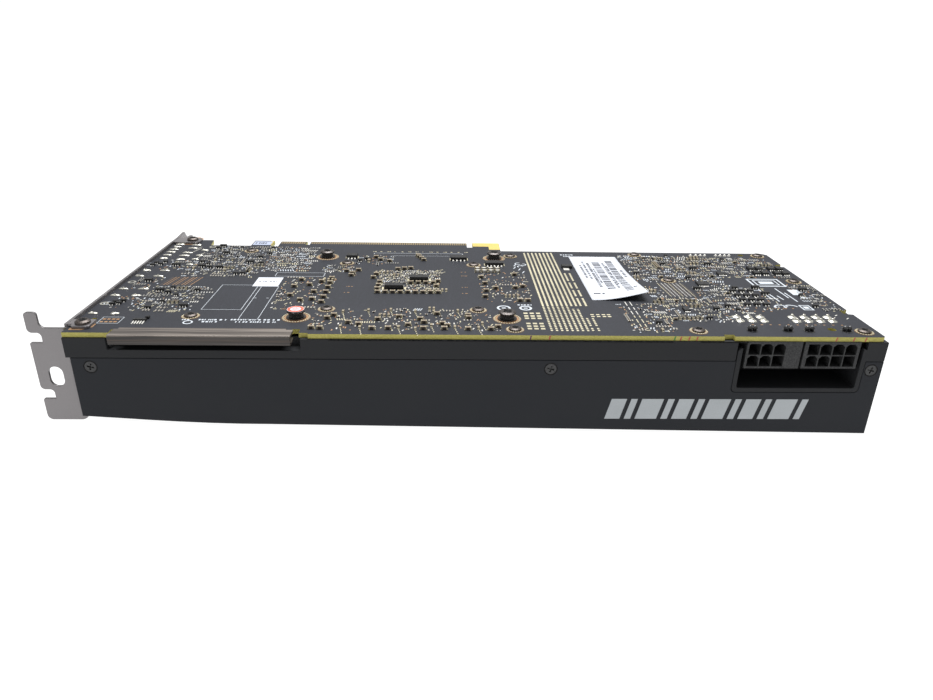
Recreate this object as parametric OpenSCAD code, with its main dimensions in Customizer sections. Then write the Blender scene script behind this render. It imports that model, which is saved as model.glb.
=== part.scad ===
// Dual-slot expansion card with a radial blower, lying on its fan side.
// X runs along the card from the bracket to the tail, +Y points to the card-edge connector,
// +Z points out of the back of the circuit board. All sizes are in millimetres.
// Every module works in board coordinates: X = 0 at the bracket edge of the board, Y = 0 at its
// free long edge, Z = 0 on the bare back. place() moves the result so that the origin is under
// the middle of the card.

/* [Board] */
// Length of the circuit board
board_l = 266.7; // [262:0.1:270]
// Height of the circuit board behind the card-edge connector
board_h = 97.7; // [97:0.1:99]
// Thickness of the circuit board
board_t = 1.6; // [1.4:0.1:1.8]
// How far the card-edge connector reaches
finger_tip = 111.15; // [110.5:0.05:112]

/* [Bracket] */
// Sheet thickness of the bracket
bracket_t = 0.9; // [0.8:0.1:1.0]
// Overall length of the bracket, tab to tongue tip
bracket_len = 120; // [119:0.5:121]
// Width of the bent tab
tab_w = 12.4; // [11:0.1:13]
// Distance between the two slots' screw notches
slot_pitch = 20.32; // [20.32:0.01:20.33]
// Width of a screw notch
notch_w = 3.45; // [3.2:0.05:3.8]

/* [Casing] */
// Wall thickness of the shroud
shroud_t = 1.5; // [1.2:0.1:1.6]
// Depth of the casing below the board's back at the bracket end
depth_bracket = 29.8; // [29.5:0.1:30]
// Depth of the casing below the board's back at the tail
depth_tail = 36; // [35.5:0.1:36.5]
// Depth of the seam between frame and shroud
seam_z = 8.5; // [8.2:0.1:8.8]

/* [Blower] */
// Outer radius of the blower wheel
wheel_r = 34; // [32:0.5:34.5]
// Number of blades
blades = 33; // [25:1:37]
// Radius of the air inlet in the shroud
inlet_r = 28; // [26:0.5:29]
// Radial running clearance of the shaft
shaft_clear = 0.03; // [0.02:0.01:0.06]

/* [Cooler] */
// Distance between the spring screws, both ways
cooler_pitch = 71.5; // [71:0.1:72]
// Number of cooling fins
fins = 38; // [20:1:38]
// Thickness of one fin
fin_t = 0.4; // [0.3:0.1:0.6]

/* [Power sockets] */
// Distance between neighbouring cells
cell_pitch = 4.2; // [4.2:0.01:4.21]
// Width of one cell
cell_w = 3.8; // [3.5:0.1:3.9]

/* [Hidden] */
$fn = 48;
eps = 0.01;

board_z = -board_t;
tail_x = 267.8;
rail_x = -0.05;
front_y = -0.5;
rear_y = 98.2;
cover_front = -4.3;
cover_back = 2.7;
cover_top = 0.85;
cover_x = [16, 72.7];
tongue_front = -3.6;
tab_y = 3.3;
tongue_y = tab_y + bracket_len;
tab_left = -bracket_t - 0.1 - tab_w + bracket_t;

// The origin is under the middle of the whole card, on the plane it rests on.
origin_x = (tab_left + tail_x) / 2;
origin_y = (cover_front + tongue_y) / 2;

// Casing layers, measured down from the back of the board.
plate_top = -3.7;
plate_bottom = -5.2;
rail_top = -board_t - 0.1;
shroud_top = -seam_z - 0.2;
cool_x = 107;
cool_y = 50.2;
fan_x = 222;
fan_y = 52;

board_screws_at = [[35.8, 15], [80.2, 22.6], [36.9, 94], [80.7, 77], [133.2, 22.6], [133.6, 76],
    [150.1, 89.5], [144.6, 4.8], [205.7, 4.6], [261.8, 4.6], [210.9, 57.6], [261.8, 57.6],
    [205.9, 93.4], [261.4, 93.4]];
bracket_screws_at = [[4.4, 5.9], [7.4, 107.4]];
front_screws_x = [7.2, 156.5, 264.2];
rear_screws_x = [24, 156.5, 264.2];
face_screw_z = -11.8;
shroud_screw_r = 1;
recess_x = [219.5, 260];
rim = 1.5;
recess_z = -18.5;
recess_depth = 14;
socket_z = [-11.2, -1.65];
socket_row_z = [-4.35, -8.55];
cell_x6 = 223.4;
cell_x8 = 243.2;
header_x = [218, 226];
header_y = [85.5, 89.5];
display_y = [61.2, 38.7];
oval_y = 22;
wide_y = [72.2, 107.8];
post_y = [wide_y[0] + 1.4, wide_y[1] - 1.4];

module place() translate([-origin_x, -origin_y, depth_tail]) children();

// A box between two corners.
module block(lo, hi) translate(lo) cube([hi[0] - lo[0], hi[1] - lo[1], hi[2] - lo[2]]);

// A flat rectangle with round corners.
module round_rect(lo, hi, r) {
    translate([lo[0] + r, lo[1]]) square([hi[0] - lo[0] - 2 * r, hi[1] - lo[1]]);
    translate([lo[0], lo[1] + r]) square([hi[0] - lo[0], hi[1] - lo[1] - 2 * r]);
    for (x = [lo[0] + r, hi[0] - r], y = [lo[1] + r, hi[1] - r]) translate([x, y]) circle(r = r);
}

// An outline drawn in X and Z, made into a sheet from y0 to y1.
module sheet_xz(y0, y1) translate([0, y1, 0]) rotate([90, 0, 0]) linear_extrude(y1 - y0) children();

// An outline drawn in Y and Z, made into a sheet from x0 to x1.
module sheet_yz(x0, x1) translate([x0, 0, 0]) rotate([90, 0, 90]) linear_extrude(x1 - x0) children();

// A disc or rod standing on height z.
module rod(at, r, z0, z1) translate([at[0], at[1], z0]) cylinder(r = r, h = z1 - z0);

function cooler_at() = [for (i = [-0.5, 0.5], j = [-0.5, 0.5])
    [cool_x + i * cooler_pitch, cool_y + j * cooler_pitch]];

// ---------------------------------------------------------------- board

module board_outline() polygon([
    [0, 0], [14.6, 0], [14.6, 3], [17.2, 3], [17.2, tongue_front], [70.6, tongue_front], [70.6, 3],
    [72.5, 4], [74.5, 4], [74.5, 0.9], [77.5, 0.9], [77.5, 0], [213, 0], [213, 1.6],
    [216.4, 1.6], [216.4, 0], [board_l - 0.8, 0], [board_l, 0.8], [board_l, 21], [board_l - 3, 21.6],
    [board_l - 3, 25], [board_l, 25.6], [board_l, 77.5], [board_l - 3, 78], [board_l - 3, 80.5],
    [board_l, 81], [board_l, board_h - 2], [board_l - 2, board_h], [146.5, board_h], [146.5, 110.4],
    [134.2, 110.4], [134.2, 103], [131.6, 103], [131.6, finger_tip], [60.3, finger_tip], [60.3, 105],
    [58.4, 105], [58.4, finger_tip], [46.7, finger_tip], [46.7, 101.5], [43.5, 101.5], [43.5, 111],
    [34.5, 111], [34.5, 102.5], [17, 102.5], [15.6, 111], [0, 111]]);

// One bevel along the tips of the card-edge connector.
module finger_bevel(z, side) sheet_yz(46, 132)
    polygon([[finger_tip - 1.2, z], [finger_tip + 0.1, z], [finger_tip + 0.1, z - side * 0.4]]);

module circuit_board() color([0.16, 0.16, 0.18]) place() difference() {
    translate([0, 0, board_z]) linear_extrude(board_t) board_outline();
    for (p = board_screws_at) rod(p, 1.2, -2, 1);
    for (p = cooler_at()) rod(p, 1.6, -2, 1);
    for (p = bracket_screws_at) rod(p, 1.35, -2, 1);
    rod([5.2, 11.9], 0.8, -2, 1);
    rod([251.8, 6.7], 1.4, -2, 1);
    rod([254.3, 94.8], 1.2, -2, 1);
    finger_bevel(0, 1);
    finger_bevel(board_z, -1);
}

module contact_row(x0, pads, pitch, width, y0, y1) for (i = [0:pads - 1]) {
    block([x0 + i * pitch, y0, 0], [x0 + i * pitch + width, y1, 0.05]);
    block([x0 + i * pitch, y0, board_z - 0.05], [x0 + i * pitch + width, y1, board_z]);
}

module edge_contacts() color("gold") place() {
    contact_row(47.2, 11, 1, 0.7, 106.4, 109.9);
    contact_row(60.75, 71, 1, 0.7, 106.4, 109.9);
}

module bridge_contacts() color("gold") place() {
    contact_row(18.4, 17, 1.5, 0.9, tongue_front + 0.4, 1.2);
    contact_row(45, 17, 1.5, 0.9, tongue_front + 0.4, 1.2);
}

module ring_pad(p, r_out, r_in) translate([p[0], p[1], 0]) difference() {
    cylinder(r = r_out, h = 0.06);
    translate([0, 0, -1]) cylinder(r = r_in, h = 2);
}

module screw_pads() color([0.75, 0.5, 0.32]) place() {
    for (p = board_screws_at) ring_pad(p, 3, 1.3);
    for (p = cooler_at()) ring_pad(p, 4.8, 3.4);
}

// ---------------------------------------------------------------- bracket

tab_top = 0.1;
tab_bottom = -33.3;
notch_z = -1.6 - notch_w / 2;
plate_x = [-0.1 - bracket_t, -0.1];
bend_r = bracket_t + 0.4;

// What rounding takes off an outline's corner at p. The corner points up and to the right, then
// turns anticlockwise by turn.
module corner_off(p, r, turn) translate(p) rotate(turn) difference() {
    translate([-r, -r]) square(r + eps);
    translate([-r, -r]) circle(r = r);
}

// Material added in an inner corner at p that opens up and to the right.
module fillet_in(p, r) translate(p) difference() {
    translate([-eps, -eps]) square(r + eps);
    translate([r, r]) circle(r = r);
}

finger_w = 4;
finger_top = 5.4;
tab_right = -0.1 - bend_r;

// Open notch for a case screw: its inner end is rounded above and square below.
module screw_notch(z) difference() {
    translate([tab_left - 1, z - notch_w / 2]) square([5.2, notch_w]);
    corner_off([tab_left + 4.2, z + notch_w / 2], 1.4, 0);
}

// The tab as seen from the front, with its raised finger, two notches and hand hole.
module tab_outline() difference() {
    union() {
        translate([tab_left, tab_bottom]) square([tab_right - tab_left, tab_top - tab_bottom]);
        translate([tab_left, tab_top - 1]) square([finger_w, finger_top - tab_top + 1]);
        fillet_in([tab_left + finger_w, tab_top], 1.8);
    }
    corner_off([tab_left, finger_top], 1.1, 90);
    corner_off([tab_left + finger_w, finger_top], 1.1, 0);
    corner_off([tab_left, tab_bottom], 1.9, 180);
    for (z = [notch_z, notch_z - slot_pitch]) {
        screw_notch(z);
        corner_off([tab_left, z + notch_w / 2], 1.5, 180);
        corner_off([tab_left, z - notch_w / 2], 0.5, 90);
    }
    translate([-6.45, -15.9]) circle(r = 2.35);
    translate([-6.45, -18.4]) circle(r = 2.35);
    translate([-8.8, -18.4]) square([4.7, 2.5]);
}

vents = 19;
vent_pitch = 5.2;
module socket_holes() {
    for (y = display_y) translate([y - 8.4, -7.9]) square([16.8, 5.8]);
    translate([oval_y - 2.9, -3.7]) circle(r = 1.85);
    translate([oval_y + 2.9, -3.7]) circle(r = 1.85);
    translate([oval_y - 2.9, -5.55]) square([5.8, 3.7]);
    translate([wide_y[0] + 5.2, -13.2]) square([25.2, 10.2]);
    for (y = post_y) translate([y, -8.1]) circle(r = 1.75);
    for (i = [0:vents - 1]) {
        translate([10 + i * vent_pitch, -29.5]) square([2.8, 12]);
        translate([11.4 + i * vent_pitch, -17.5]) circle(r = 1.4);
        translate([11.4 + i * vent_pitch, -29.5]) circle(r = 1.4);
    }
}

// The upright plate as seen from outside, with the two tongues that hook into the case.
module plate_outline() difference() {
    union() {
        translate([tab_y + bend_r, tab_bottom]) square([112 - tab_y - bend_r, 1.1 - tab_bottom]);
        polygon([[111, -13.2], [tongue_y, -13.2], [tongue_y, -3.2], [119.2, 1.5], [117.6, 1.5], [111, 1.1]]);
        translate([111, tab_bottom]) square([tongue_y - 111, 10]);
    }
    socket_holes();
}

module bracket() color([0.55, 0.53, 0.52]) place() {
    sheet_xz(tab_y, tab_y + bracket_t) tab_outline();
    sheet_yz(plate_x[0], plate_x[1]) plate_outline();
    intersection() {
        difference() {
            rod([-0.1 - bend_r, tab_y + bend_r], bend_r, tab_bottom, tab_top);
            rod([-0.1 - bend_r, tab_y + bend_r], bend_r - bracket_t, tab_bottom - 1, tab_top + 1);
        }
        block([-0.1 - bend_r, tab_y, tab_bottom - 1], [-0.1, tab_y + bend_r, tab_top + 1]);
    }
    difference() {
        translate([0, 0, 0.06]) linear_extrude(bracket_t) {
            round_rect([-0.9, 4.9], [7.4, 9.2], 0.6);
            round_rect([1.4, 2.8], [7.4, 9.2], 1.4);
            round_rect([-0.9, 103.6], [11, 110.8], 1.6);
            polygon([[2.2, 110], [3.4, 115.8], [4.6, 115.8], [6.4, 110]]);
        }
        for (p = bracket_screws_at) rod(p, 1.35, -1, 2);
    }
}

// A screw with a low round head and a cross recess, standing on height z.
module cross_screw(p, head_r, head_h, shank_r, z, tip) difference() {
    union() {
        rod(p, head_r, z, z + head_h * 0.6);
        translate([p[0], p[1], z + head_h * 0.6]) cylinder(r1 = head_r, r2 = head_r * 0.72, h = head_h * 0.4);
        rod(p, shank_r, tip, z + eps);
    }
    for (a = [0, 90]) translate([p[0], p[1], z + head_h]) rotate([0, 0, a + 20])
        cube([head_r * 1.1, head_r * 0.26, head_h * 1.1], center = true);
}

module bracket_screws() color([0.3, 0.29, 0.28]) place()
    for (p = bracket_screws_at) cross_screw(p, 2.4, 1.2, 1.25, 0.06 + bracket_t, -3.6);

module board_screws() color([0.12, 0.12, 0.12]) place()
    for (p = board_screws_at) cross_screw(p, 2.1, 0.9, 1.1, 0.06, -5);

// Channel pushed over the bridge tongue from the front. The board shares its middle height.
slot_gap = 0.13;
cover_low = -board_t - cover_top;
module bridge_cover() color([0.42, 0.38, 0.35]) place() difference() {
    sheet_yz(cover_x[0], cover_x[1]) polygon([
        [cover_front, cover_low + 0.3], [cover_front, cover_top - 0.3], [cover_front + 0.3, cover_top],
        [cover_back - 0.3, cover_top], [cover_back, cover_top - 0.3], [cover_back, slot_gap],
        [tongue_front - 0.1, slot_gap], [tongue_front - 0.1, board_z - slot_gap],
        [cover_back, board_z - slot_gap], [cover_back, cover_low], [cover_front + 0.3, cover_low]]);
    block([14, cover_back - 1.4, -3], [17.35, cover_back + 1, 2]);
    block([70.45, cover_back - 1.4, -3], [73, cover_back + 1, 2]);
}

// ---------------------------------------------------------------- casing

// Depth of the casing at x: it falls away quickly near the bracket, then slopes gently.
module casing_profile(x0, x1, grow) polygon(concat(
    [[x0, shroud_top], [x0, -depth_bracket + grow]],
    [for (k = [1:6]) [3 + k * 10, -depth_bracket + grow - 3 * sin(k * 15)]],
    [[x1, -depth_tail + grow], [x1, shroud_top]]));

module face_screw_hole(x, y) translate([x, y, face_screw_z]) rotate([-90, 0, 0])
    cylinder(r = shroud_screw_r + 0.1, h = 8, center = true);

module shroud() color([0.2, 0.205, 0.22]) place() difference() {
    sheet_xz(front_y, rear_y) casing_profile(1.3, tail_x, 0);
    translate([0, 0, 0.1]) sheet_xz(front_y + shroud_t, rear_y - shroud_t)
        casing_profile(-1, tail_x - shroud_t, shroud_t);
    rod([fan_x, fan_y], inlet_r, -40, -28);
    sheet_xz(front_y - 1, front_y + 4) round_rect([recess_x[0] - rim - 0.2, recess_z - rim - 0.2],
        [recess_x[1] + rim + 0.2, 5], 1.6);
    block([-1, 70, -15], [15.5, rear_y + 1, 0]);
    for (x = front_screws_x) {
        face_screw_hole(x, front_y);
        translate([x, front_y - eps, face_screw_z]) rotate([-90, 0, 0]) cylinder(r1 = 2.05, r2 = 1.1, h = 0.95);
    }
    for (x = rear_screws_x) {
        face_screw_hole(x, rear_y);
        translate([x, rear_y + eps, face_screw_z]) rotate([90, 0, 0]) cylinder(r1 = 2.05, r2 = 1.1, h = 0.95);
    }
    for (i = [0:4]) block([tail_x - 3, 20 + i * 12, -30], [tail_x + 1, 28 + i * 12, -27]);
}

// A flat-headed cross screw pointing along +Y from y.
module face_screw(x, y, way) translate([x, y, face_screw_z]) rotate([way * -90, 0, 0]) difference() {
    union() {
        cylinder(r1 = 1.95, r2 = shroud_screw_r, h = 0.9);
        cylinder(r = shroud_screw_r, h = 3.7);
    }
    for (a = [0, 90]) rotate([0, 0, a + 15]) cube([2.3, 0.5, 1.1], center = true);
}

module shroud_screws() color([0.1, 0.1, 0.1]) place() {
    for (x = front_screws_x) face_screw(x, front_y + 0.02, 1);
    for (x = rear_screws_x) face_screw(x, rear_y - 0.02, -1);
}

// Downward tab inside the shroud wall, which a face screw bites into.
module screw_tab(x, y0, y1) difference() {
    block([max(x - 3.5, 2), y0, -15.5], [min(x + 3.5, tail_x - shroud_t - 0.1), y1, plate_bottom + 0.1]);
    face_screw_hole(x, (y0 + y1) / 2);
}

module rails() {
    block([rail_x, front_y, -5.7], [13.5, 1.05, rail_top]);
    block([rail_x, front_y, -seam_z], [217.6, 1.05, -5.7]);
    block([75, front_y, -5.8], [217.6, 1.05, rail_top]);
    block([13.5, 1, -6.7], [75, 4.6, -5.7]);
    block([13.5, 3.6, -6], [75, 4.6, rail_top - 0.8]);
    block([13.5, 1, -6], [14.5, 4.6, rail_top]);
    block([261.1, front_y, -seam_z], [tail_x, 1.05, rail_top]);
    block([16, rear_y - 1.55, -seam_z], [tail_x, rear_y, rail_top]);
    block([tail_x - 1.55, front_y, -seam_z], [tail_x, rear_y, rail_top]);
}

// The pocket that the plugs' latches reach into, with its rim in the front face.
module plug_pocket() difference() {
    union() {
        sheet_xz(front_y, 1.2) round_rect([recess_x[0] - rim, recess_z - rim], [recess_x[1] + rim, -4], 1.5);
        block([recess_x[0] - 1.2, 1, recess_z - 1.2], [recess_x[1] + 1.2, recess_depth + 1.2, -11.4]);
    }
    sheet_xz(front_y - 1, recess_depth) round_rect([recess_x[0], recess_z], [recess_x[1], 5], 0.8);
}

module base_frame() color([0.19, 0.19, 0.2]) place() {
    rails();
    plug_pocket();
    difference() {
        union() {
            block([24, 0.8, plate_bottom], [tail_x - 1, rear_y - 1, plate_top]);
            for (p = board_screws_at) rod(p, 2.4, plate_top - 0.1, board_z);
        }
        block([20, -1, -8], [76, 8, 0]);
        block([217, 0.5, -8], [262, 21.5, 0]);
        block([88, 31, -8], [126, 69.4, 0]);
        block([173, 7, -8], [184, 91, 0]);
        block([151, 60, -8], [160, 84, 0]);
        for (p = cooler_at()) rod(p, 3.6, -8, 0);
        for (p = board_screws_at) rod(p, 1.15, -8, 0);
        for (p = fan_screws_at) rod(p, 1.1, -8, 0);
        block([header_x[0] - 0.5, header_y[0] - 0.5, -8], [header_x[1] + 0.5, header_y[1] + 0.5, 0]);
    }
    for (x = front_screws_x) if (x < 200) screw_tab(x, 1.02, 3.4);
    for (x = rear_screws_x) screw_tab(x, rear_y - 3.9, rear_y - 1.52);
    difference() {
        block([261.4, 1.02, -15.5], [266.2, 3.4, plate_bottom + 0.1]);
        face_screw_hole(front_screws_x[2], 2);
    }
}

// ---------------------------------------------------------------- blower

fan_screws_at = [for (a = [30:120:270]) [fan_x + 15.5 * cos(a), fan_y + 15.5 * sin(a)]];
wheel_top = -12.5;
wheel_bottom = -31;
cup_r = 17.4;
shaft_r = 1.5;

module at_fan() translate([fan_x, fan_y, 0]) children();

blade_root = 24.2;
blade_lean = 38;
blade_l = (wheel_r - blade_root) * 1.12;
disc_t = 1.4;
rim_t = 1.2;
rim_r = 28.5;

// Cup around the magnets and the disc that carries the blades.
module fan_rotor() color([0.07, 0.07, 0.075]) place() at_fan() difference() {
    union() {
        translate([0, 0, -29]) cylinder(r = cup_r, h = 20.2);
        translate([0, 0, -30]) cylinder(r = cup_r - 1.2, h = 1.5);
        translate([0, 0, wheel_top - disc_t]) cylinder(r = wheel_r, h = disc_t);
    }
    difference() {
        translate([0, 0, -28.2]) cylinder(r = cup_r - 1.4, h = 30);
        translate([0, 0, -28.3]) cylinder(r = 4, h = 4.3);
    }
    translate([0, 0, -29]) cylinder(r = shaft_r, h = 30);
}

// Flat blades standing between the rim and the disc.
module fan_blades() color([0.07, 0.07, 0.075]) place() at_fan() for (i = [0:blades - 1])
    rotate([0, 0, i * 360 / blades]) translate([blade_root, 0, wheel_bottom + rim_t])
        rotate([0, 0, blade_lean]) cube([blade_l, 0.8, wheel_top - wheel_bottom - disc_t - rim_t]);

module fan_rim() color([0.07, 0.07, 0.075]) place() at_fan()
    ring(wheel_r, rim_r, wheel_bottom, wheel_bottom + rim_t);

module fan_shaft() color("silver") place() at_fan() translate([0, 0, -29]) cylinder(r = shaft_r, h = 21);

module ring(r_out, r_in, z0, z1) difference() {
    translate([0, 0, z0]) cylinder(r = r_out, h = z1 - z0);
    translate([0, 0, z0 - 1]) cylinder(r = r_in, h = z1 - z0 + 2);
}

module fan_magnet_ring() color([0.25, 0.25, 0.27]) place() at_fan() ring(cup_r - 1.4, 14.3, -22, -10.5);

module fan_bearing() color([0.7, 0.55, 0.3]) place() at_fan() ring(3, shaft_r + shaft_clear, -22.5, -8.5);

module fan_motor_base() color([0.6, 0.6, 0.62]) place() at_fan() difference() {
    union() {
        translate([0, 0, -6.7]) cylinder(r = 18.5, h = 1.5);
        translate([0, 0, -23.2]) cylinder(r = 4, h = 16.6);
    }
    translate([0, 0, -24]) cylinder(r = 3.01, h = 16.2);
    for (p = fan_screws_at) rod([p[0] - fan_x, p[1] - fan_y], 1.1, -8, 0);
}

module fan_motor_board() color([0.1, 0.35, 0.2]) place() at_fan() difference() {
    ring(13.4, 4.1, -8.2, -7.2);
    translate([-18, 6, -9]) cube([8, 8, 3]);
}

teeth = 9;
module fan_stator() color([0.72, 0.4, 0.2]) place() at_fan() difference() {
    union() {
        ring(7.5, 4.05, -21, -10);
        for (i = [0:teeth - 1]) rotate([0, 0, i * 360 / teeth]) {
            translate([7, -1.4, -20]) cube([5.6, 2.8, 9]);
            translate([12, -3.4, -20.5]) cube([1, 6.8, 10]);
        }
    }
    ring(30, 13.9, -30, 0);
}

module fan_screws() color("dimgray") place() for (p = fan_screws_at) {
    rod(p, 0.98, -6.7, -4.2);
    rod(p, 1.9, -7.9, -6.7);
}

module fan_header() color([0.85, 0.82, 0.72]) place() difference() {
    block([header_x[0], header_y[0], -7.4], [header_x[1], header_y[1], board_z]);
    block([header_x[0] + 1, header_y[0] + 1, -8], [header_x[1] - 1, header_y[1] + 1, -3]);
}

module fan_plug() color([0.92, 0.9, 0.84]) place()
    block([header_x[0] + 1.3, header_y[0] + 1.3, -8.6], [header_x[1] - 1.3, header_y[1] - 0.1, -3.1]);

// Flat four-wire lead from the motor to its plug, between the motor's base and the turning cup.
lead_r = 0.4;
lead_start = fan_y + 13.45;
module fan_cable() color([0.08, 0.08, 0.08]) place() for (i = [-1.5:1.5])
    translate([fan_x + i * 1.1, lead_start, -7.85]) rotate([-90, 0, 0])
        cylinder(r = lead_r, h = header_y[0] + 1.3 - lead_start, $fn = 16);

// ---------------------------------------------------------------- cooler

plate_half = 41.2;
chamber_top = plate_bottom - 0.2;
die_top = -3.85;
fin_zone = 2 * plate_half - 1;
fin_pitch = (fin_zone - fin_t) / (fins - 1);

module vapor_chamber() color([0.72, 0.42, 0.28]) place() difference() {
    union() {
        block([cool_x - plate_half, cool_y - plate_half, chamber_top - 3],
            [cool_x + plate_half, cool_y + plate_half, chamber_top]);
        block([cool_x - 16, cool_y - 16, chamber_top - 1], [cool_x + 16, cool_y + 16, die_top]);
        for (p = cooler_at()) rod(p, 3.1, chamber_top - 1, board_z - 0.1);
    }
    for (p = cooler_at()) rod(p, 1.45, chamber_top - 2.4, 0);
}

// Separate fins soldered to the underside of the vapour chamber.
module fin_stack() color([0.78, 0.79, 0.8]) place() for (i = [0:fins - 1]) {
    y = cool_y - plate_half + 0.5 + i * fin_pitch;
    block([cool_x - plate_half, y, -30.8], [cool_x + plate_half, y + fin_t, chamber_top - 3]);
}

module gpu_package() color([0.12, 0.3, 0.16]) place()
    block([cool_x - 18.7, cool_y - 18.7, -2.9], [cool_x + 18.7, cool_y + 18.7, board_z]);

module gpu_stiffener() color("silver") place() difference() {
    block([cool_x - 18.5, cool_y - 18.5, -3.4], [cool_x + 18.5, cool_y + 18.5, -2.9]);
    block([cool_x - 16.3, cool_y - 16.3, -4], [cool_x + 16.3, cool_y + 16.3, -2]);
}

module gpu_die() color([0.3, 0.32, 0.36]) place()
    block([cool_x - 12, cool_y - 10, -3.7], [cool_x + 12, cool_y + 10, -2.9]);

module thermal_paste() color([0.7, 0.7, 0.68]) place()
    block([cool_x - 12, cool_y - 10, die_top], [cool_x + 12, cool_y + 10, -3.7]);

memory_at = [for (i = [0:2]) [63.5, 25 + i * 17], for (i = [0:2]) [137.5, 27 + i * 17],
    [90, 76], [109, 76]];
memory_w = 12;
memory_l = 14;

module memory_chips() color([0.08, 0.08, 0.085]) place() for (p = memory_at)
    block([p[0], p[1], -2.8], [p[0] + memory_w, p[1] + memory_l, board_z]);

module memory_pads() color([0.62, 0.66, 0.74]) place() for (p = memory_at)
    block([p[0] + 1, p[1] + 1, plate_top], [p[0] + memory_w - 1, p[1] + memory_l - 1, -2.8]);

// ---------------------------------------------------------------- power parts

phases = 8;
phase_pitch = 10.2;
phase_y = 9;

module power_inductors() color([0.36, 0.36, 0.38]) place() for (i = [0:phases - 1])
    block([174, phase_y + i * phase_pitch, -7.8], [183, phase_y + i * phase_pitch + 8.6, board_z]);

module power_stages() color([0.1, 0.1, 0.1]) place() for (i = [0:phases - 1])
    block([163, phase_y + 1.5 + i * phase_pitch, -2.6], [169, phase_y + 6.5 + i * phase_pitch, board_z]);

module power_stage_pads() color([0.62, 0.66, 0.74]) place()
    block([162.5, phase_y + 1, plate_top], [169.5, phase_y + (phases - 1) * phase_pitch + 7, -2.6]);

module polymer_capacitors() color([0.7, 0.7, 0.72]) place() for (i = [0:2])
    translate([155.5, 64 + i * 8, -8.2]) cylinder(r = 3.1, h = 8.2 - board_t);

// Square cells, with two corners cut where the plug must not go in the wrong way round.
module cell_hole(x, z, keyed) translate([x, front_y - 1, z]) {
    h = cell_w / 2;
    if (keyed) sheet_xz(0, 12) polygon([[-h, -h], [h, -h], [h, h / 2], [h / 2, h], [-h / 2, h], [-h, h / 2]]);
    else translate([-h, 0, -h]) cube([cell_w, 12, cell_w]);
}

module socket_cells(x0, columns, upper_keyed, lower_keyed) for (i = [0:columns - 1]) {
    cell_hole(x0 + i * cell_pitch, socket_row_z[0], upper_keyed[i]);
    cell_hole(x0 + i * cell_pitch, socket_row_z[1], lower_keyed[i]);
    for (z = socket_row_z) translate([x0 + i * cell_pitch, 5, z]) rotate([-90, 0, 0]) cylinder(r = 0.7, h = 9);
}

module power_socket_6() color([0.06, 0.06, 0.06]) place() difference() {
    block([220.7, front_y + 0.1, socket_z[0]], [239.2, 12.4, socket_z[1]]);
    socket_cells(cell_x6, 3, [false, true, true], [true, true, false]);
}

module power_socket_8() color([0.06, 0.06, 0.06]) place() difference() {
    block([240, front_y + 0.1, socket_z[0]], [258.7, 12.4, socket_z[1]]);
    socket_cells(cell_x8, 4, [false, true, true, true], [true, true, false, false]);
}

solder_row_y = [14.2, 18];
pin_r = 0.5;

module power_pin(x, row) {
    z = socket_row_z[row];
    y = solder_row_y[row];
    translate([x, 4, z]) rotate([-90, 0, 0]) cylinder(r = pin_r, h = y - 4, $fn = 24);
    translate([x, y, z]) sphere(r = pin_r, $fn = 24);
    translate([x, y, z]) cylinder(r = pin_r, h = board_z - z, $fn = 24);
}

module power_pins() color([0.8, 0.75, 0.55]) place() for (row = [0, 1]) {
    for (i = [0:2]) power_pin(cell_x6 + i * cell_pitch, row);
    for (i = [0:3]) power_pin(cell_x8 + i * cell_pitch, row);
}

module power_solder() color([0.85, 0.85, 0.8]) place() for (y = solder_row_y) {
    for (i = [0:2]) translate([cell_x6 + i * cell_pitch, y, 0]) cylinder(r1 = 1.5, r2 = 0.5, h = 1.3);
    for (i = [0:3]) translate([cell_x8 + i * cell_pitch, y, 0]) cylinder(r1 = 1.5, r2 = 0.5, h = 1.3);
}

module socket_pegs() color([0.05, 0.05, 0.05]) place() for (x = [224, 236.2, 243.4, 256.2])
    translate([x, 5.4, 0]) difference() {
        cylinder(r1 = 1.6, r2 = 1.1, h = 2);
        translate([-2, -0.25, 0.7]) cube([4, 0.5, 2]);
    }

// ---------------------------------------------------------------- display sockets

module wide_socket_shell() color("silver") place() {
    difference() {
        block([-5.6, wide_y[0] + 5.4, -13], [0.6, wide_y[1] - 5.4, -3.2]);
        block([-7, wide_y[0] + 6, -12.4], [2, wide_y[1] - 6, -3.8]);
    }
    difference() {
        block([0, wide_y[0], -14.2], [0.6, wide_y[1], -2]);
        block([-1, wide_y[0] + 6, -12.4], [2, wide_y[1] - 6, -3.8]);
        for (y = post_y) translate([-1, y, -8.1]) rotate([0, 90, 0]) cylinder(r = 1.6, h = 3);
    }
}

module wide_socket_body() color([0.92, 0.92, 0.9]) place() difference() {
    union() {
        block([0.65, wide_y[0] + 3, -14], [13, wide_y[1] - 3, board_z]);
        block([-4.4, wide_y[0] + 6.1, -12.3], [0.7, wide_y[1] - 6.1, -3.9]);
    }
    for (row = [0:2], i = [0:7])
        translate([-5, wide_y[0] + 8.6 + i * 1.9, -10 + row * 1.9]) cube([4, 1.1, 1.1]);
    translate([-5, wide_y[0] + 25.6, -8.4]) cube([4, 3, 0.8]);
}

module wide_socket_posts() color([0.75, 0.75, 0.76]) place() for (y = post_y)
    translate([-5.6, y, -8.1]) rotate([0, 90, 0]) difference() {
        union() {
            cylinder(r = 2.6, h = 4.5, $fn = 6);
            cylinder(r = 1.5, h = 9);
        }
        translate([0, 0, -1]) cylinder(r = 1.3, h = 5);
    }

module display_socket_shells() color([0.7, 0.7, 0.72]) place() for (y = display_y) difference() {
    block([-1.2, y - 8.2, -7.7], [16, y + 8.2, -2.3]);
    block([-2, y - 7.7, -7.2], [12, y + 7.7, -2.8]);
    translate([0, y + 8.2, -7.7]) rotate([45, 0, 0]) cube([4, 2, 2], center = true);
}

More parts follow.
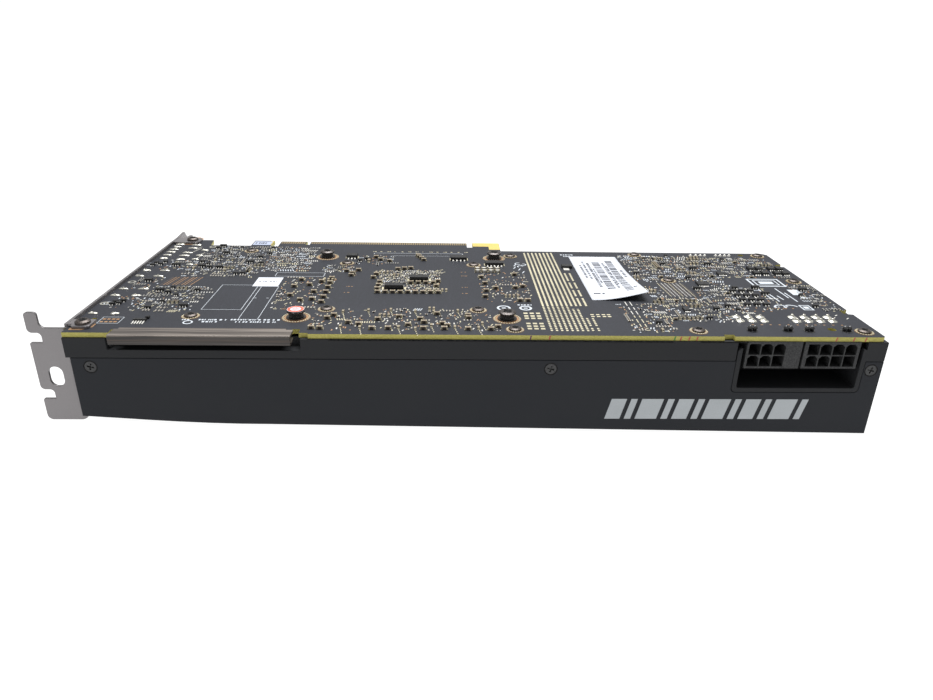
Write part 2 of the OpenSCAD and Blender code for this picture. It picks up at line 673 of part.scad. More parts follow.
module display_socket_tongues() color([0.08, 0.08, 0.08]) place() for (y = display_y) {
    block([1, y - 6, -5.4], [12, y + 6, -4]);
}

module oval_outline(half, r) {
    translate([oval_y - half, -3.7]) circle(r = r);
    translate([oval_y + half, -3.7]) circle(r = r);
    translate([oval_y - half, -3.7 - r]) square([2 * half, 2 * r]);
}

module oval_socket_shell() color([0.7, 0.7, 0.72]) place() difference() {
    sheet_yz(-1.2, 9) oval_outline(2.9, 1.7);
    sheet_yz(-2, 8.5) oval_outline(2.9, 1.35);
}

module oval_socket_tongue() color([0.1, 0.1, 0.1]) place()
    block([0.2, oval_y - 3.2, -4.05], [8.5, oval_y + 3.2, -3.35]);

// Dome of solder pulled out along the card.
module solder_bead(x, y, l, r) translate([x, y, 0]) intersection() {
    translate([-l, -l, 0]) cube([2 * l, 2 * l, 2]);
    union() {
        translate([-l / 2 + r, 0, 0]) sphere(r = r, $fn = 24);
        translate([l / 2 - r, 0, 0]) sphere(r = r, $fn = 24);
        translate([-l / 2 + r, 0, 0]) rotate([0, 90, 0]) cylinder(r = r, h = l - 2 * r, $fn = 24);
    }
}

module socket_solder() color([0.85, 0.85, 0.8]) place() {
    for (y = [104, 100, 96, 92, 87.4, 82.6]) solder_bead(3.2, y - 1.2, 3.6, 0.75);
    for (y = [103, 98, 91, 86.6, 81]) solder_bead(10.6, y - 1, 4.2, 0.75);
    for (y = [94, 86, 80.4, 73]) solder_bead(16.8, y, 2.8, 0.7);
    for (y = display_y, d = [-3.8, 3.4]) {
        solder_bead(2.6, y + d, 3.2, 0.8);
        solder_bead(9.8, y + d, 3.8, 0.8);
    }
    for (x = [2.6, 9.8]) solder_bead(x, 16.8, 3, 0.75);
}

// ---------------------------------------------------------------- cooler screws

module cooler_washers() color([0.05, 0.05, 0.05]) place()
    for (p = cooler_at()) translate([p[0], p[1], 0]) ring(3.3, 1.6, 0, 0.4);

module cooler_springs() color([0.55, 0.55, 0.56]) place() for (p = cooler_at())
    translate([p[0], p[1], 0]) for (i = [0:3]) translate([0, 0, 0.62 + i * 0.43])
        rotate_extrude($fn = 32) translate([2.3, 0]) circle(r = 0.2, $fn = 16);

module cooler_screws() color([0.2, 0.19, 0.18]) place() for (p = cooler_at()) difference() {
    union() {
        rod(p, 3, 2.2, 2.6);
        translate([p[0], p[1], 2.6]) cylinder(r1 = 3, r2 = 2.3, h = 0.4);
        rod(p, 1.9, 0.5, 2.3);
        rod(p, 1.4, -7, 0.6);
    }
    for (a = [0, 90]) translate([p[0], p[1], 3]) rotate([0, 0, a + 30]) cube([3.4, 0.8, 1.4], center = true);
}

module screw_seal() color([0.85, 0.8, 0.78]) place()
    rod([cool_x - cooler_pitch / 2, cool_y - cooler_pitch / 2], 2.9, 3, 3.05);

// ---------------------------------------------------------------- parts on the back

module back_bulk_caps() color([0.06, 0.06, 0.06]) place() {
    block([98.6, 43.6, 0], [105.9, 47.4, 1.9]);
    block([107.7, 53.6, 0], [115.1, 57.4, 1.9]);
}

module back_chips() color([0.07, 0.07, 0.07]) place() {
    block([79.5, 83.6, 0], [84.2, 87.6, 1.5]);
    block([124, 82, 0], [131, 86, 1.5]);
    block([138.4, 74.6, 0], [146.2, 78.6, 1.5]);
    block([220.4, 50.4, 0], [225.6, 56, 0.8]);
    block([233.2, 64.4, 0], [237.8, 68.4, 0.8]);
    block([206, 22, 0], [209.2, 26.4, 0.8]);
    block([18.2, 7.4, 0], [22.8, 11.6, 1]);
    block([2, 70, 0], [7.6, 76.6, 1.2]);
    block([5, 24.4, 0], [9, 29.4, 1]);
}

module back_transistors() color([0.05, 0.05, 0.05]) place() {
    block([170.3, 72, 0], [174.7, 75.4, 1.1]);
    for (i = [0:2], j = [0:3]) block([231 + i * 3.4, 29 + j * 5, 0], [233.2 + i * 3.4, 30.6 + j * 5, 1]);
    for (i = [0:1], j = [0:1]) block([249 + i * 8.6, 64.6 + j * 6.2, 0], [255.4 + i * 8.6, 69 + j * 6.2, 1.2]);
}

strip_x = [156.5, 158.3, 160, 161.7, 163.4, 165.1, 166.8, 168.5];
module test_pad_strips() color([0.72, 0.66, 0.45]) place() {
    for (x = strip_x, j = [0:3]) block([x - 0.45, 4 + j * 23, 0], [x + 0.45, 25 + j * 23, 0.05]);
    for (x = [169.9, 171.7], j = [0:3]) block([x - 0.4, 27 + j * 10, 0], [x + 0.4, 35 + j * 10, 0.05]);
    for (x = [169.9, 171.7]) block([x - 0.4, 4, 0], [x + 0.4, 16, 0.05]);
}

// Paper label whose near tail-side corner has come loose.
module wide_label() color([0.93, 0.94, 0.96]) place() {
    block([175.7, 46, 0.06], [196.4, 89.4, 0.2]);
    block([175.7, 33.2, 0.06], [188, 46, 0.2]);
}

module small_labels() color([0.93, 0.94, 0.96]) place() {
    block([48.8, 46.1, 0.06], [58.4, 56.9, 0.16]);
    block([35, 103.4, 0.06], [43, 109.4, 0.16]);
}

circuit_board();
edge_contacts();
bridge_contacts();
bracket();
bracket_screws();
bridge_cover();
base_frame();
shroud();
shroud_screws();
fan_rotor();
fan_blades();
fan_rim();
fan_shaft();
fan_magnet_ring();
fan_bearing();
fan_stator();
fan_motor_base();
fan_motor_board();
fan_screws();
fan_cable();
fan_plug();
fan_header();
vapor_chamber();
fin_stack();
gpu_package();
gpu_die();
gpu_stiffener();
thermal_paste();
memory_chips();
memory_pads();
power_inductors();
power_stages();
power_stage_pads();
polymer_capacitors();
power_socket_6();
power_socket_8();
power_pins();
wide_socket_shell();
wide_socket_body();
wide_socket_posts();
display_socket_shells();
display_socket_tongues();
oval_socket_shell();
oval_socket_tongue();
cooler_screws();
cooler_springs();
cooler_washers();
board_screws();
screw_pads();
back_bulk_caps();
back_chips();
back_transistors();
power_solder();
socket_solder();
socket_pegs();
test_pad_strips();
wide_label();
small_labels();
screw_seal();
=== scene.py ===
"""A graphics card lying on its fan side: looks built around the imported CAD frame."""
import math
import random

import bpy
from mathutils import Matrix, Vector


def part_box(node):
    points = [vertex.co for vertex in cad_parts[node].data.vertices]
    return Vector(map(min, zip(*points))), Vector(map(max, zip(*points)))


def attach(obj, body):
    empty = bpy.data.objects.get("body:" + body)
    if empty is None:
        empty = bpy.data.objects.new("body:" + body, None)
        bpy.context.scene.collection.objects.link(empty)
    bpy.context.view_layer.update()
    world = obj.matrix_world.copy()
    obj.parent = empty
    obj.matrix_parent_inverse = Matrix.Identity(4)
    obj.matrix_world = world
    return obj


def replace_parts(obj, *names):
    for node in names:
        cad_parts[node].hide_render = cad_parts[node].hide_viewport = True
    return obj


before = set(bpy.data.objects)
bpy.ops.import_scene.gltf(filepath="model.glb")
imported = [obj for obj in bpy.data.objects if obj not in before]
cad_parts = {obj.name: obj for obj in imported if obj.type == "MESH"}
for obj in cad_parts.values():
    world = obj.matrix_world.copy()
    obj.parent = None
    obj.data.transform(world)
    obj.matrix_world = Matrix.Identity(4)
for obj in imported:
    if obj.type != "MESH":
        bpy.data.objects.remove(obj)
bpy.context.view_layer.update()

MM = 0.001

# ---------------------------------------------------------------- the board's own axes
# Board coordinates, in millimetres: X = 0 at the bracket edge, Y = 0 at the free long edge and
# Z = 0 on the bare back of the board. FRONT and REAR are the casing's long faces, UNDER its floor.
board_lo, board_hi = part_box("circuit_board")
casing_lo, casing_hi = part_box("shroud")
FRONT = -0.5
ORIGIN = Vector((board_lo.x, casing_lo.y - FRONT * MM, board_hi.z))
REAR = (casing_hi.y - ORIGIN.y) / MM
UNDER = (casing_lo.z - ORIGIN.z) / MM
# Heights of printed ink and of a bare pad.
INK = 0.03
PAD = 0.05


def at(x, y, z):
    """A point in board coordinates, in the row frame and in metres."""
    return ORIGIN + Vector((x, y, z)) * MM


def span(node):
    """A CAD node's box in board coordinates."""
    lo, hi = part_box(node)
    return (lo - ORIGIN) / MM, (hi - ORIGIN) / MM


def middle_of(node):
    """The middle of a CAD node's footprint in board coordinates."""
    lo, hi = span(node)
    return (lo.x + hi.x) / 2, (lo.y + hi.y) / 2


# ---------------------------------------------------------------- materials

def srgb(r, g, b):
    """A colour written as on a screen, 0 to 255, made linear."""
    def one(c):
        c /= 255
        return c / 12.92 if c <= 0.04045 else ((c + 0.055) / 1.055) ** 2.4
    return (one(r), one(g), one(b), 1.0)


def mixed(a, b, t):
    """The colour a share t of the way from a to b."""
    return tuple(a[i] * (1 - t) + b[i] * t for i in range(3)) + (1.0,)


def grey(value):
    """A neutral colour, which also stands for a plain number."""
    return (value, value, value, 1.0)


BLACK, WHITE = grey(0.0), grey(1.0)


class Nodes:
    """Short names for the node calls that every material makes."""

    def __init__(self, name):
        self.mat = bpy.data.materials.new(name)
        self.mat.use_nodes = True
        self.tree = self.mat.node_tree
        self.bsdf = self.tree.nodes["Principled BSDF"]
        self.coord = self.add("ShaderNodeTexCoord").outputs["Object"]

    def add(self, kind, **values):
        """A new node with its settings."""
        node = self.tree.nodes.new(kind)
        for key, value in values.items():
            setattr(node, key, value)
        return node

    def feed(self, socket, value):
        """Links an output to a socket, or sets the socket to a constant."""
        if isinstance(value, bpy.types.NodeSocket):
            self.tree.links.new(value, socket)
        else:
            socket.default_value = value

    def shader(self, **values):
        """Feeds the shader's own sockets, whose names have _ for a space here."""
        for key, value in values.items():
            self.feed(self.bsdf.inputs[key.replace("_", " ")], value)

    def noise(self, scale, detail=3.0, rough=0.55, stretch=None):
        """Noise over the object's coordinates, which stretch scales along each axis."""
        node = self.add("ShaderNodeTexNoise")
        for key, value in (("Scale", scale), ("Detail", detail), ("Roughness", rough)):
            node.inputs[key].default_value = value
        source = self.coord
        if stretch:
            mapping = self.add("ShaderNodeMapping")
            mapping.inputs["Scale"].default_value = stretch
            self.feed(mapping.inputs["Vector"], source)
            source = mapping.outputs["Vector"]
        self.feed(node.inputs["Vector"], source)
        return node.outputs["Fac"]

    def ramp(self, fac, *stops):
        """Colours at places from 0 to 1."""
        node = self.add("ShaderNodeValToRGB")
        elements = node.color_ramp.elements
        while len(elements) < len(stops):
            elements.new(0.5)
        for element, (place, colour) in zip(elements, stops):
            element.position = place
            element.color = colour
        self.feed(node.inputs["Fac"], fac)
        return node.outputs["Color"]

    def mix(self, fac, a, b, blend="MIX"):
        """Two colours mixed, or blended in another way."""
        node = self.add("ShaderNodeMix", data_type="RGBA", blend_type=blend)
        for key, value in (("Factor", fac), ("A", a), ("B", b)):
            self.feed(node.inputs[key], value)
        return node.outputs["Result"]

    def times(self, a, b, share=1.0):
        """One colour multiplied by another."""
        return self.mix(share, a, b, "MULTIPLY")

    def maths(self, operation, a, b=0.0):
        """A sum on one or two values."""
        node = self.add("ShaderNodeMath", operation=operation)
        for socket, value in zip(node.inputs, (a, b)):
            self.feed(socket, value)
        return node.outputs[0]

    def z_of(self, vector):
        """The Z part of a vector."""
        node = self.add("ShaderNodeSeparateXYZ")
        self.feed(node.inputs[0], vector)
        return node.outputs["Z"]

    def upward(self):
        """How far the surface faces up, from -1 to 1."""
        return self.z_of(self.add("ShaderNodeNewGeometry").outputs["Normal"])

    def bump(self, height, depth_mm, edge_mm=0.0):
        """A relief, on edges that look rounded to a radius of edge_mm."""
        node = self.add("ShaderNodeBump")
        node.inputs["Strength"].default_value = 1.0
        node.inputs["Distance"].default_value = depth_mm * MM
        self.feed(node.inputs["Height"], height)
        if edge_mm:
            bevel = self.add("ShaderNodeBevel", samples=4)
            bevel.inputs["Radius"].default_value = edge_mm * MM
            self.feed(node.inputs["Normal"], bevel.outputs["Normal"])
        self.shader(Normal=node.outputs["Normal"])


def surface(name, colour, rough, metal=0.0, specular=0.5, vary=0.12, grain=900.0, bump_mm=0.01,
            edge_mm=0.0, smudge=0.1):
    """A material with colour mottling, uneven gloss and a fine relief, all at the given grain."""
    n = Nodes(name)
    colour = srgb(*colour)
    fine = n.noise(grain, 4.0, 0.6)
    broad = n.noise(60.0, 3.0)
    base = n.ramp(fine, (0.3, mixed(colour, BLACK, vary)), (0.7, mixed(colour, WHITE, vary * 0.35)))
    shade = n.ramp(broad, (0.35, grey(1 - smudge)), (0.65, WHITE))
    low, high = max(rough - 0.08, 0.02), min(rough + 0.1, 1.0)
    n.shader(Base_Color=n.times(base, shade), Metallic=metal, Specular_IOR_Level=specular,
             Roughness=n.ramp(broad, (0.3, grey(low)), (0.7, grey(high))))
    n.bump(fine, bump_mm, edge_mm)
    return n.mat


def board_material():
    """Dark solder mask on both faces, raw olive laminate on the edges, buried tracks showing faintly."""
    n = Nodes("solder_mask")
    fine = n.noise(2600.0, 3.0)
    mask = n.ramp(fine, (0.3, srgb(32, 34, 39)), (0.75, srgb(44, 46, 53)))
    tracks = n.ramp(n.noise(340.0, 1.0, 0.4, (1.0, 0.12, 1.0)),
                    (0.49, WHITE), (0.52, (1.22, 1.22, 1.25, 1)), (0.55, WHITE))
    clouds = n.ramp(n.noise(38.0, 2.0), (0.3, (0.93, 0.93, 0.94, 1)), (0.7, (1.06, 1.06, 1.08, 1)))
    mask = n.times(n.times(mask, tracks, 0.55), clouds)
    weave = n.noise(900.0, 2.0, 0.5, (1.0, 1.0, 9.0))
    raw = n.ramp(weave, (0.3, srgb(162, 154, 72)), (0.55, srgb(198, 190, 106)), (0.75, srgb(144, 138, 68)))
    on_face = n.maths("GREATER_THAN", n.maths("ABSOLUTE", n.upward()), 0.5)
    n.shader(Base_Color=n.mix(on_face, raw, mask), Roughness=0.5, Specular_IOR_Level=0.28)
    n.bump(fine, 0.008)
    return n.mat


def ceramic(name, top, side):
    """Fired ceramic with painted light: a paler top as if lit from above and darker sides as if in shade."""
    n = Nodes(name)
    top, side = srgb(*top), srgb(*side)
    fine = n.noise(2500.0, 3.0)
    pale = n.ramp(fine, (0.3, mixed(top, BLACK, 0.25)), (0.7, mixed(top, WHITE, 0.08)))
    dark = n.ramp(fine, (0.3, mixed(side, BLACK, 0.3)), (0.7, mixed(side, WHITE, 0.05)))
    # Painted light: faces turned up take the paler top colour, all other faces the darker shaded colour.
    n.shader(Base_Color=n.mix(n.maths("GREATER_THAN", n.upward(), 0.6), dark, pale), Roughness=0.42)
    n.bump(fine, 0.01, 0.06)
    return n.mat


def brushed(name, colour, rough, along):
    """Bare metal with fine lines along one axis, X, Y or Z."""
    n = Nodes(name)
    colour = srgb(*colour)
    lines = n.noise(2600.0, 2.0, 0.6, tuple(0.03 if axis == along else 1.0 for axis in "XYZ"))
    cloud = n.noise(90.0, 4.0)
    base = n.ramp(lines, (0.3, mixed(colour, BLACK, 0.2)), (0.7, mixed(colour, WHITE, 0.08)))
    tone = n.ramp(cloud, (0.3, grey(0.86)), (0.7, (1.06, 1.05, 1.04, 1)))
    n.shader(Base_Color=n.times(base, tone), Metallic=1.0,
             Roughness=n.ramp(cloud, (0.3, grey(rough - 0.07)), (0.7, grey(rough + 0.1))))
    n.bump(lines, 0.006, 0.25)
    return n.mat


def cover_material():
    """Smoky drawn plastic: fine lines along X, painted shade darkening it towards the bottom, a painted
    highlight along the top, and a warm brown band where the board's edge shows through.
    """
    n = Nodes("cover_plastic")
    lines = n.noise(2200.0, 2.0, 0.6, (0.02, 1.0, 1.0))
    bands = n.noise(420.0, 2.0, 0.5, (0.01, 1.0, 1.6))
    base = n.ramp(lines, (0.3, srgb(60, 56, 54)), (0.7, srgb(112, 106, 101)))
    streaks = n.ramp(bands, (0.4, (0.5, 0.48, 0.47, 1)), (0.5, (0.92, 0.89, 0.87, 1)),
                     (0.6, (1.6, 1.58, 1.56, 1)))
    # Painted shade and highlight over height: darkest at the bottom, a warm band in the middle where the
    # board's edge shows through, brightest along the top.
    lo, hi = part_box("bridge_cover")
    level = n.maths("DIVIDE", n.maths("SUBTRACT", n.z_of(n.coord), lo.z), hi.z - lo.z)
    shade_and_edge_tint = n.ramp(level, (0.0, (0.42, 0.42, 0.44, 1)), (0.3, (0.6, 0.57, 0.55, 1)),
                  (0.5, (1.0, 0.8, 0.68, 1)), (0.66, (0.64, 0.6, 0.58, 1)),
                  (0.88, (0.72, 0.7, 0.69, 1)), (1.0, (1.15, 1.14, 1.12, 1)))
    n.shader(Base_Color=n.times(n.times(base, streaks), shade_and_edge_tint), Specular_IOR_Level=0.4, Coat_Weight=0.15,
             Roughness=n.ramp(bands, (0.3, grey(0.26)), (0.7, grey(0.42))))
    n.bump(lines, 0.012, 0.3)
    return n.mat


MATERIALS = {
    "mask": board_material(),
    "gold": surface("gold_plating", (160, 142, 106), 0.36, 0.5, grain=2500, bump_mm=0.004),
    "bracket": surface("bracket_steel", (137, 134, 135), 0.36, 0.75, vary=0.06, grain=3200, bump_mm=0.004,
                       edge_mm=0.3, smudge=0.08),
    "black_screw": surface("black_screw", (72, 61, 54), 0.38, 0.7, vary=0.25, grain=3000, edge_mm=0.15),
    "spring_screw": surface("spring_screw", (66, 58, 54), 0.34, 0.75, vary=0.3, grain=3000, edge_mm=0.15),
    "face_screw": surface("face_screw", (30, 31, 33), 0.4, 0.3, vary=0.2, grain=3000, edge_mm=0.1),
    "cover": cover_material(),
    "frame": surface("frame_plastic", (25, 27, 31), 0.56, specular=0.16, vary=0.1, grain=5200,
                     bump_mm=0.007, edge_mm=0.3),
    "shroud": surface("shroud_plastic", (30, 33, 39), 0.62, specular=0.16, vary=0.08, grain=5200,
                      bump_mm=0.007, edge_mm=0.35),
    "socket": surface("socket_nylon", (30, 31, 33), 0.42, specular=0.25, vary=0.15, grain=2400, edge_mm=0.25),
    "black": surface("black_plastic", (20, 20, 22), 0.42, vary=0.15, grain=2400, edge_mm=0.12),
    "peg": surface("peg_nylon", (14, 14, 17), 0.22, specular=0.6, vary=0.2, grain=1500, edge_mm=0.12),
    "steel": surface("plated_steel", (196, 196, 198), 0.24, 1.0, grain=2400, edge_mm=0.12),
    "magnet": surface("magnet", (70, 70, 74), 0.5, 0.5, grain=1800),
    "bronze": surface("bronze", (172, 132, 82), 0.38, 0.9, grain=2600),
    "copper": brushed("copper", (200, 128, 92), 0.34, "Y"),
    "cast": surface("cast_metal", (176, 176, 180), 0.4, 0.9, grain=1500, bump_mm=0.03, edge_mm=0.15),
    "green": surface("green_laminate", (34, 88, 52), 0.45, grain=1200),
    "wire": surface("wire_jacket", (26, 26, 28), 0.5, grain=1500),
    "ivory": surface("ivory_plastic", (226, 220, 202), 0.45, grain=1500, edge_mm=0.15),
    "fins": brushed("fin_foil", (206, 208, 212), 0.3, "X"),
    "silicon": surface("silicon", (74, 78, 90), 0.12, 0.2, grain=600),
    "paste": surface("thermal_paste", (176, 176, 172), 0.6, grain=700, bump_mm=0.05),
    "resin": surface("chip_resin", (7, 7, 8), 0.5, specular=0.14, vary=0.2, grain=3000, edge_mm=0.08),
    "pad": surface("gap_pad", (150, 158, 176), 0.8, bump_mm=0.06),
    "ferrite": surface("ferrite", (74, 74, 78), 0.55, 0.3, grain=1600, bump_mm=0.04, edge_mm=0.2),
    "solder": surface("solder", (214, 212, 200), 0.24, 0.6, vary=0.2, grain=1300, bump_mm=0.08),
    "joint": surface("part_solder", (214, 204, 172), 0.34, 0.3, vary=0.2, grain=1700, bump_mm=0.03),
    "ring": surface("bare_copper", (178, 132, 80), 0.42, 0.3, vary=0.35, grain=2600),
    "rim": surface("dark_flux", (70, 46, 28), 0.5, 0.2, vary=0.3, grain=2600),
    "pads": surface("plated_pads", (210, 202, 170), 0.42, 0.3, vary=0.2, grain=2600),
    "hook": surface("bare_hook", (206, 182, 90), 0.55, vary=0.14, grain=1200),
    "label": surface("label_paper", (200, 204, 212), 0.6, vary=0.03, smudge=0.04),
    "blue_label": surface("tinted_label", (168, 176, 196), 0.6, vary=0.03),
    "ink": surface("label_ink", (58, 62, 74), 0.7, vary=0.1),
    "silk": surface("silk_ink", (196, 203, 210), 0.6, grain=1800),
    # Chip bodies with painted light: paler tops as if lit from above, darker sides as if in shade.
    "tan": ceramic("ceramic_tan", (152, 138, 112), (96, 82, 64)),
    "brown": ceramic("ceramic_brown", (132, 115, 92), (56, 46, 38)),
    "cream": surface("cap_ends", (178, 168, 142), 0.36, 0.25, vary=0.18, grain=2500),
    "ends": surface("tinned_ends", (232, 230, 222), 0.34, 0.25, vary=0.16, grain=2500),
    "seal": surface("seal_ink", (214, 96, 66), 0.55, vary=0.05),
    "plate": surface("face_ink", (186, 192, 196), 0.5, vary=0.08, grain=2400),
    # Painted shade: the dark stars in the screw drives, the rings round the casing screws and the line under
    # the board's front edge.
    "dark": surface("shadow_black", (6, 6, 7), 0.8, specular=0.03, vary=0.1, grain=1500),
    "violet": surface("tick_violet", (110, 50, 90), 0.6, vary=0.2, grain=2500),
    "red": surface("tick_red", (190, 80, 60), 0.6, vary=0.2, grain=2500),
    "leaf": surface("tick_leaf", (70, 140, 50), 0.6, vary=0.2, grain=2500),
}

# The CAD nodes that each material dresses.
CAD_LOOKS = {
    "mask": "circuit_board",
    "gold": "edge_contacts bridge_contacts",
    "bracket": "bracket",
    "black_screw": "bracket_screws fan_screws board_screws",
    "spring_screw": "cooler_screws cooler_washers",
    "face_screw": "shroud_screws",
    "cover": "bridge_cover",
    "frame": "base_frame",
    "shroud": "shroud",
    "socket": "power_socket_6 power_socket_8",
    "black": "fan_rotor fan_blades fan_rim display_socket_tongues oval_socket_tongue socket_pegs",
    "peg": "cooler_springs",
    "steel": "fan_shaft gpu_stiffener power_pins wide_socket_shell wide_socket_posts display_socket_shells"
             " oval_socket_shell",
    "magnet": "fan_magnet_ring",
    "bronze": "fan_bearing",
    "copper": "fan_stator vapor_chamber",
    "cast": "fan_motor_base polymer_capacitors",
    "green": "fan_motor_board gpu_package",
    "wire": "fan_cable",
    "ivory": "fan_plug fan_header wide_socket_body",
    "fins": "fin_stack",
    "silicon": "gpu_die",
    "paste": "thermal_paste",
    "resin": "memory_chips power_stages back_bulk_caps back_chips back_transistors",
    "pad": "memory_pads power_stage_pads",
    "ferrite": "power_inductors",
    "solder": "power_solder socket_solder",
    "ring": "screw_pads",
    "pads": "test_pad_strips",
    "label": "wide_label small_labels",
    "seal": "screw_seal",
}
for look, nodes in CAD_LOOKS.items():
    for node in nodes.split():
        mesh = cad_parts[node].data
        mesh.materials.clear()
        mesh.materials.append(MATERIALS[look])


# ---------------------------------------------------------------- mesh building

def angles(count, first=0.0):
    """Evenly spaced angles round a full turn."""
    return [2 * math.pi * (i + first) / count for i in range(count)]


def around(x, y, r, a):
    """The point at radius r and angle a about x, y."""
    return x + r * math.cos(a), y + r * math.sin(a)


def flipped(faces):
    """The same faces, looking the other way."""
    return [face[::-1] for face in faces]


def band_faces(rings, sides, closed=False):
    """Faces between neighbouring rings of points; closed joins the last ring to the first."""
    faces = []
    for k in range(rings if closed else rings - 1):
        here, there = k * sides, (k + 1) % rings * sides
        for i in range(sides):
            j = (i + 1) % sides
            faces.append([here + i, here + j, there + j, there + i])
    return faces


def end_faces(rings, sides):
    """The two caps of a stack of rings."""
    last = (rings - 1) * sides
    return [list(range(sides))[::-1], list(range(last, last + sides))]


class Build:
    """Collects simple solids in board coordinates and turns them into one mesh piece."""

    def __init__(self, *looks):
        self.looks = list(looks)
        self.verts, self.faces, self.mats, self.smooth = [], [], [], []

    def add(self, verts, faces, look, smooth=False):
        """One solid in one look."""
        start = len(self.verts)
        self.verts += verts
        self.faces += [[start + i for i in face] for face in faces]
        self.mats += [self.looks.index(look)] * len(faces)
        self.smooth += [smooth] * len(faces)

    def prism(self, outline, z0, z1, look):
        """An outline of (x, y) points, anticlockwise, from z0 up to z1."""
        count = len(outline)
        verts = [(x, y, z) for z in (z0, z1) for x, y in outline]
        self.add(verts, end_faces(2, count) + band_faces(2, count), look)

    def plate(self, outline, y0, y1, look):
        """An outline of (x, z) points, anticlockwise as seen from the front, from y0 back to y1."""
        count = len(outline)
        verts = [(x, y, z) for y in (y0, y1) for x, z in outline]
        self.add(verts, flipped(end_faces(2, count) + band_faces(2, count)), look)

    def box(self, x0, x1, y0, y1, z0, z1, look):
        """A box between its six planes."""
        self.prism([(x0, y0), (x1, y0), (x1, y1), (x0, y1)], z0, z1, look)

    def ink_box(self, x0, x1, y0, y1, look="silk"):
        """A rectangle of printed ink."""
        self.box(x0, x1, y0, y1, 0, INK, look)

    def turned_box(self, x, y, length, width, z0, z1, quarter, look):
        """A box centred on x, y, whose length runs along X, or along Y after a quarter turn."""
        dx, dy = (width, length) if quarter else (length, width)
        self.box(x - dx / 2, x + dx / 2, y - dy / 2, y + dy / 2, z0, z1, look)

    def bar(self, x0, y0, x1, y1, width, z0, z1, look):
        """A straight strip between two points."""
        along = Vector((x1 - x0, y1 - y0)).normalized() * (width / 2)
        nx, ny = -along.y, along.x
        corners = [(x0 - nx, y0 - ny), (x1 - nx, y1 - ny), (x1 + nx, y1 + ny), (x0 + nx, y0 + ny)]
        self.prism(corners, z0, z1, look)

    def disc(self, x, y, r, z0, z1, look, sides=10):
        """A round plate."""
        self.prism([around(x, y, r, a) for a in angles(sides, 0.5)], z0, z1, look)

    def lathe(self, x, y, profile, look, sides, wobble=None):
        """A round solid from (radius, height) pairs, capped at both ends."""
        verts = [(*around(x, y, r * (wobble(a) if wobble else 1), a), z)
                 for r, z in profile for a in angles(sides)]
        rings = len(profile)
        self.add(verts, band_faces(rings, sides) + end_faces(rings, sides), look, True)

    def hoop(self, x, y, profile, look, sides):
        """A closed outline of (radius, height) pairs swept round an upright axis."""
        verts = [(*around(x, y, r, a), z) for r, z in profile for a in angles(sides)]
        self.add(verts, band_faces(len(profile), sides, True), look)

    def ring(self, x, y, r_out, r_in, z0, z1, look, sides=28):
        """A flat ring."""
        self.hoop(x, y, [(r_out, z0), (r_out, z1), (r_in, z1), (r_in, z0)], look, sides)

    def piece(self, name, slot, body="card"):
        """Makes the mesh object, which rides on a body; the slot is not used."""
        mesh = bpy.data.meshes.new(name)
        mesh.from_pydata([at(*v) for v in self.verts], [], self.faces)
        for look in self.looks:
            mesh.materials.append(MATERIALS[look])
        mesh.polygons.foreach_set("material_index", self.mats)
        mesh.polygons.foreach_set("use_smooth", self.smooth)
        mesh.update()
        obj = bpy.data.objects.new(name, mesh)
        bpy.context.collection.objects.link(obj)
        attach(obj, body)
        return obj


# ---------------------------------------------------------------- camera, floor and light

LENS = 27.595
CAMERA_AT = (120.7, -212.74, 88.84)
PITCH, YAW, ROLL = (math.radians(angle) for angle in (23.858, 2.113, -1.17))
AMBIENT = 0.36
BACKDROP = 1.05
TOP_WATTS = 26
FLOOR_HALF = 3.0
FLOOR_DROP = 0.0005


def camera():
    """Stands in front of the card, above it, a little towards the bracket."""
    forward = Vector((math.sin(YAW) * math.cos(PITCH), math.cos(YAW) * math.cos(PITCH), -math.sin(PITCH)))
    right = Vector((math.cos(YAW), -math.sin(YAW), 0))
    down = forward.cross(right)
    c, s = math.cos(ROLL), math.sin(ROLL)
    right, down = right * c + down * s, down * c - right * s
    data = bpy.data.cameras.new("camera")
    data.sensor_width = 36
    data.lens = LENS
    data.clip_start = 0.01
    obj = bpy.data.objects.new("camera", data)
    rotation = Matrix((right, -down, -forward)).transposed().to_4x4()
    obj.matrix_world = Matrix.Translation(at(*CAMERA_AT)) @ rotation
    bpy.context.collection.objects.link(obj)
    bpy.context.scene.camera = obj


def area_light(name, place, target, size, energy):
    """A square soft light that looks at a target."""
    data = bpy.data.lights.new(name, "AREA")
    data.shape = "SQUARE"
    data.size = size
    data.energy = energy
    obj = bpy.data.objects.new(name, data)
    obj.location = place
    obj.rotation_euler = (Vector(target) - Vector(place)).to_track_quat("-Z", "Y").to_euler()
    bpy.context.collection.objects.link(obj)


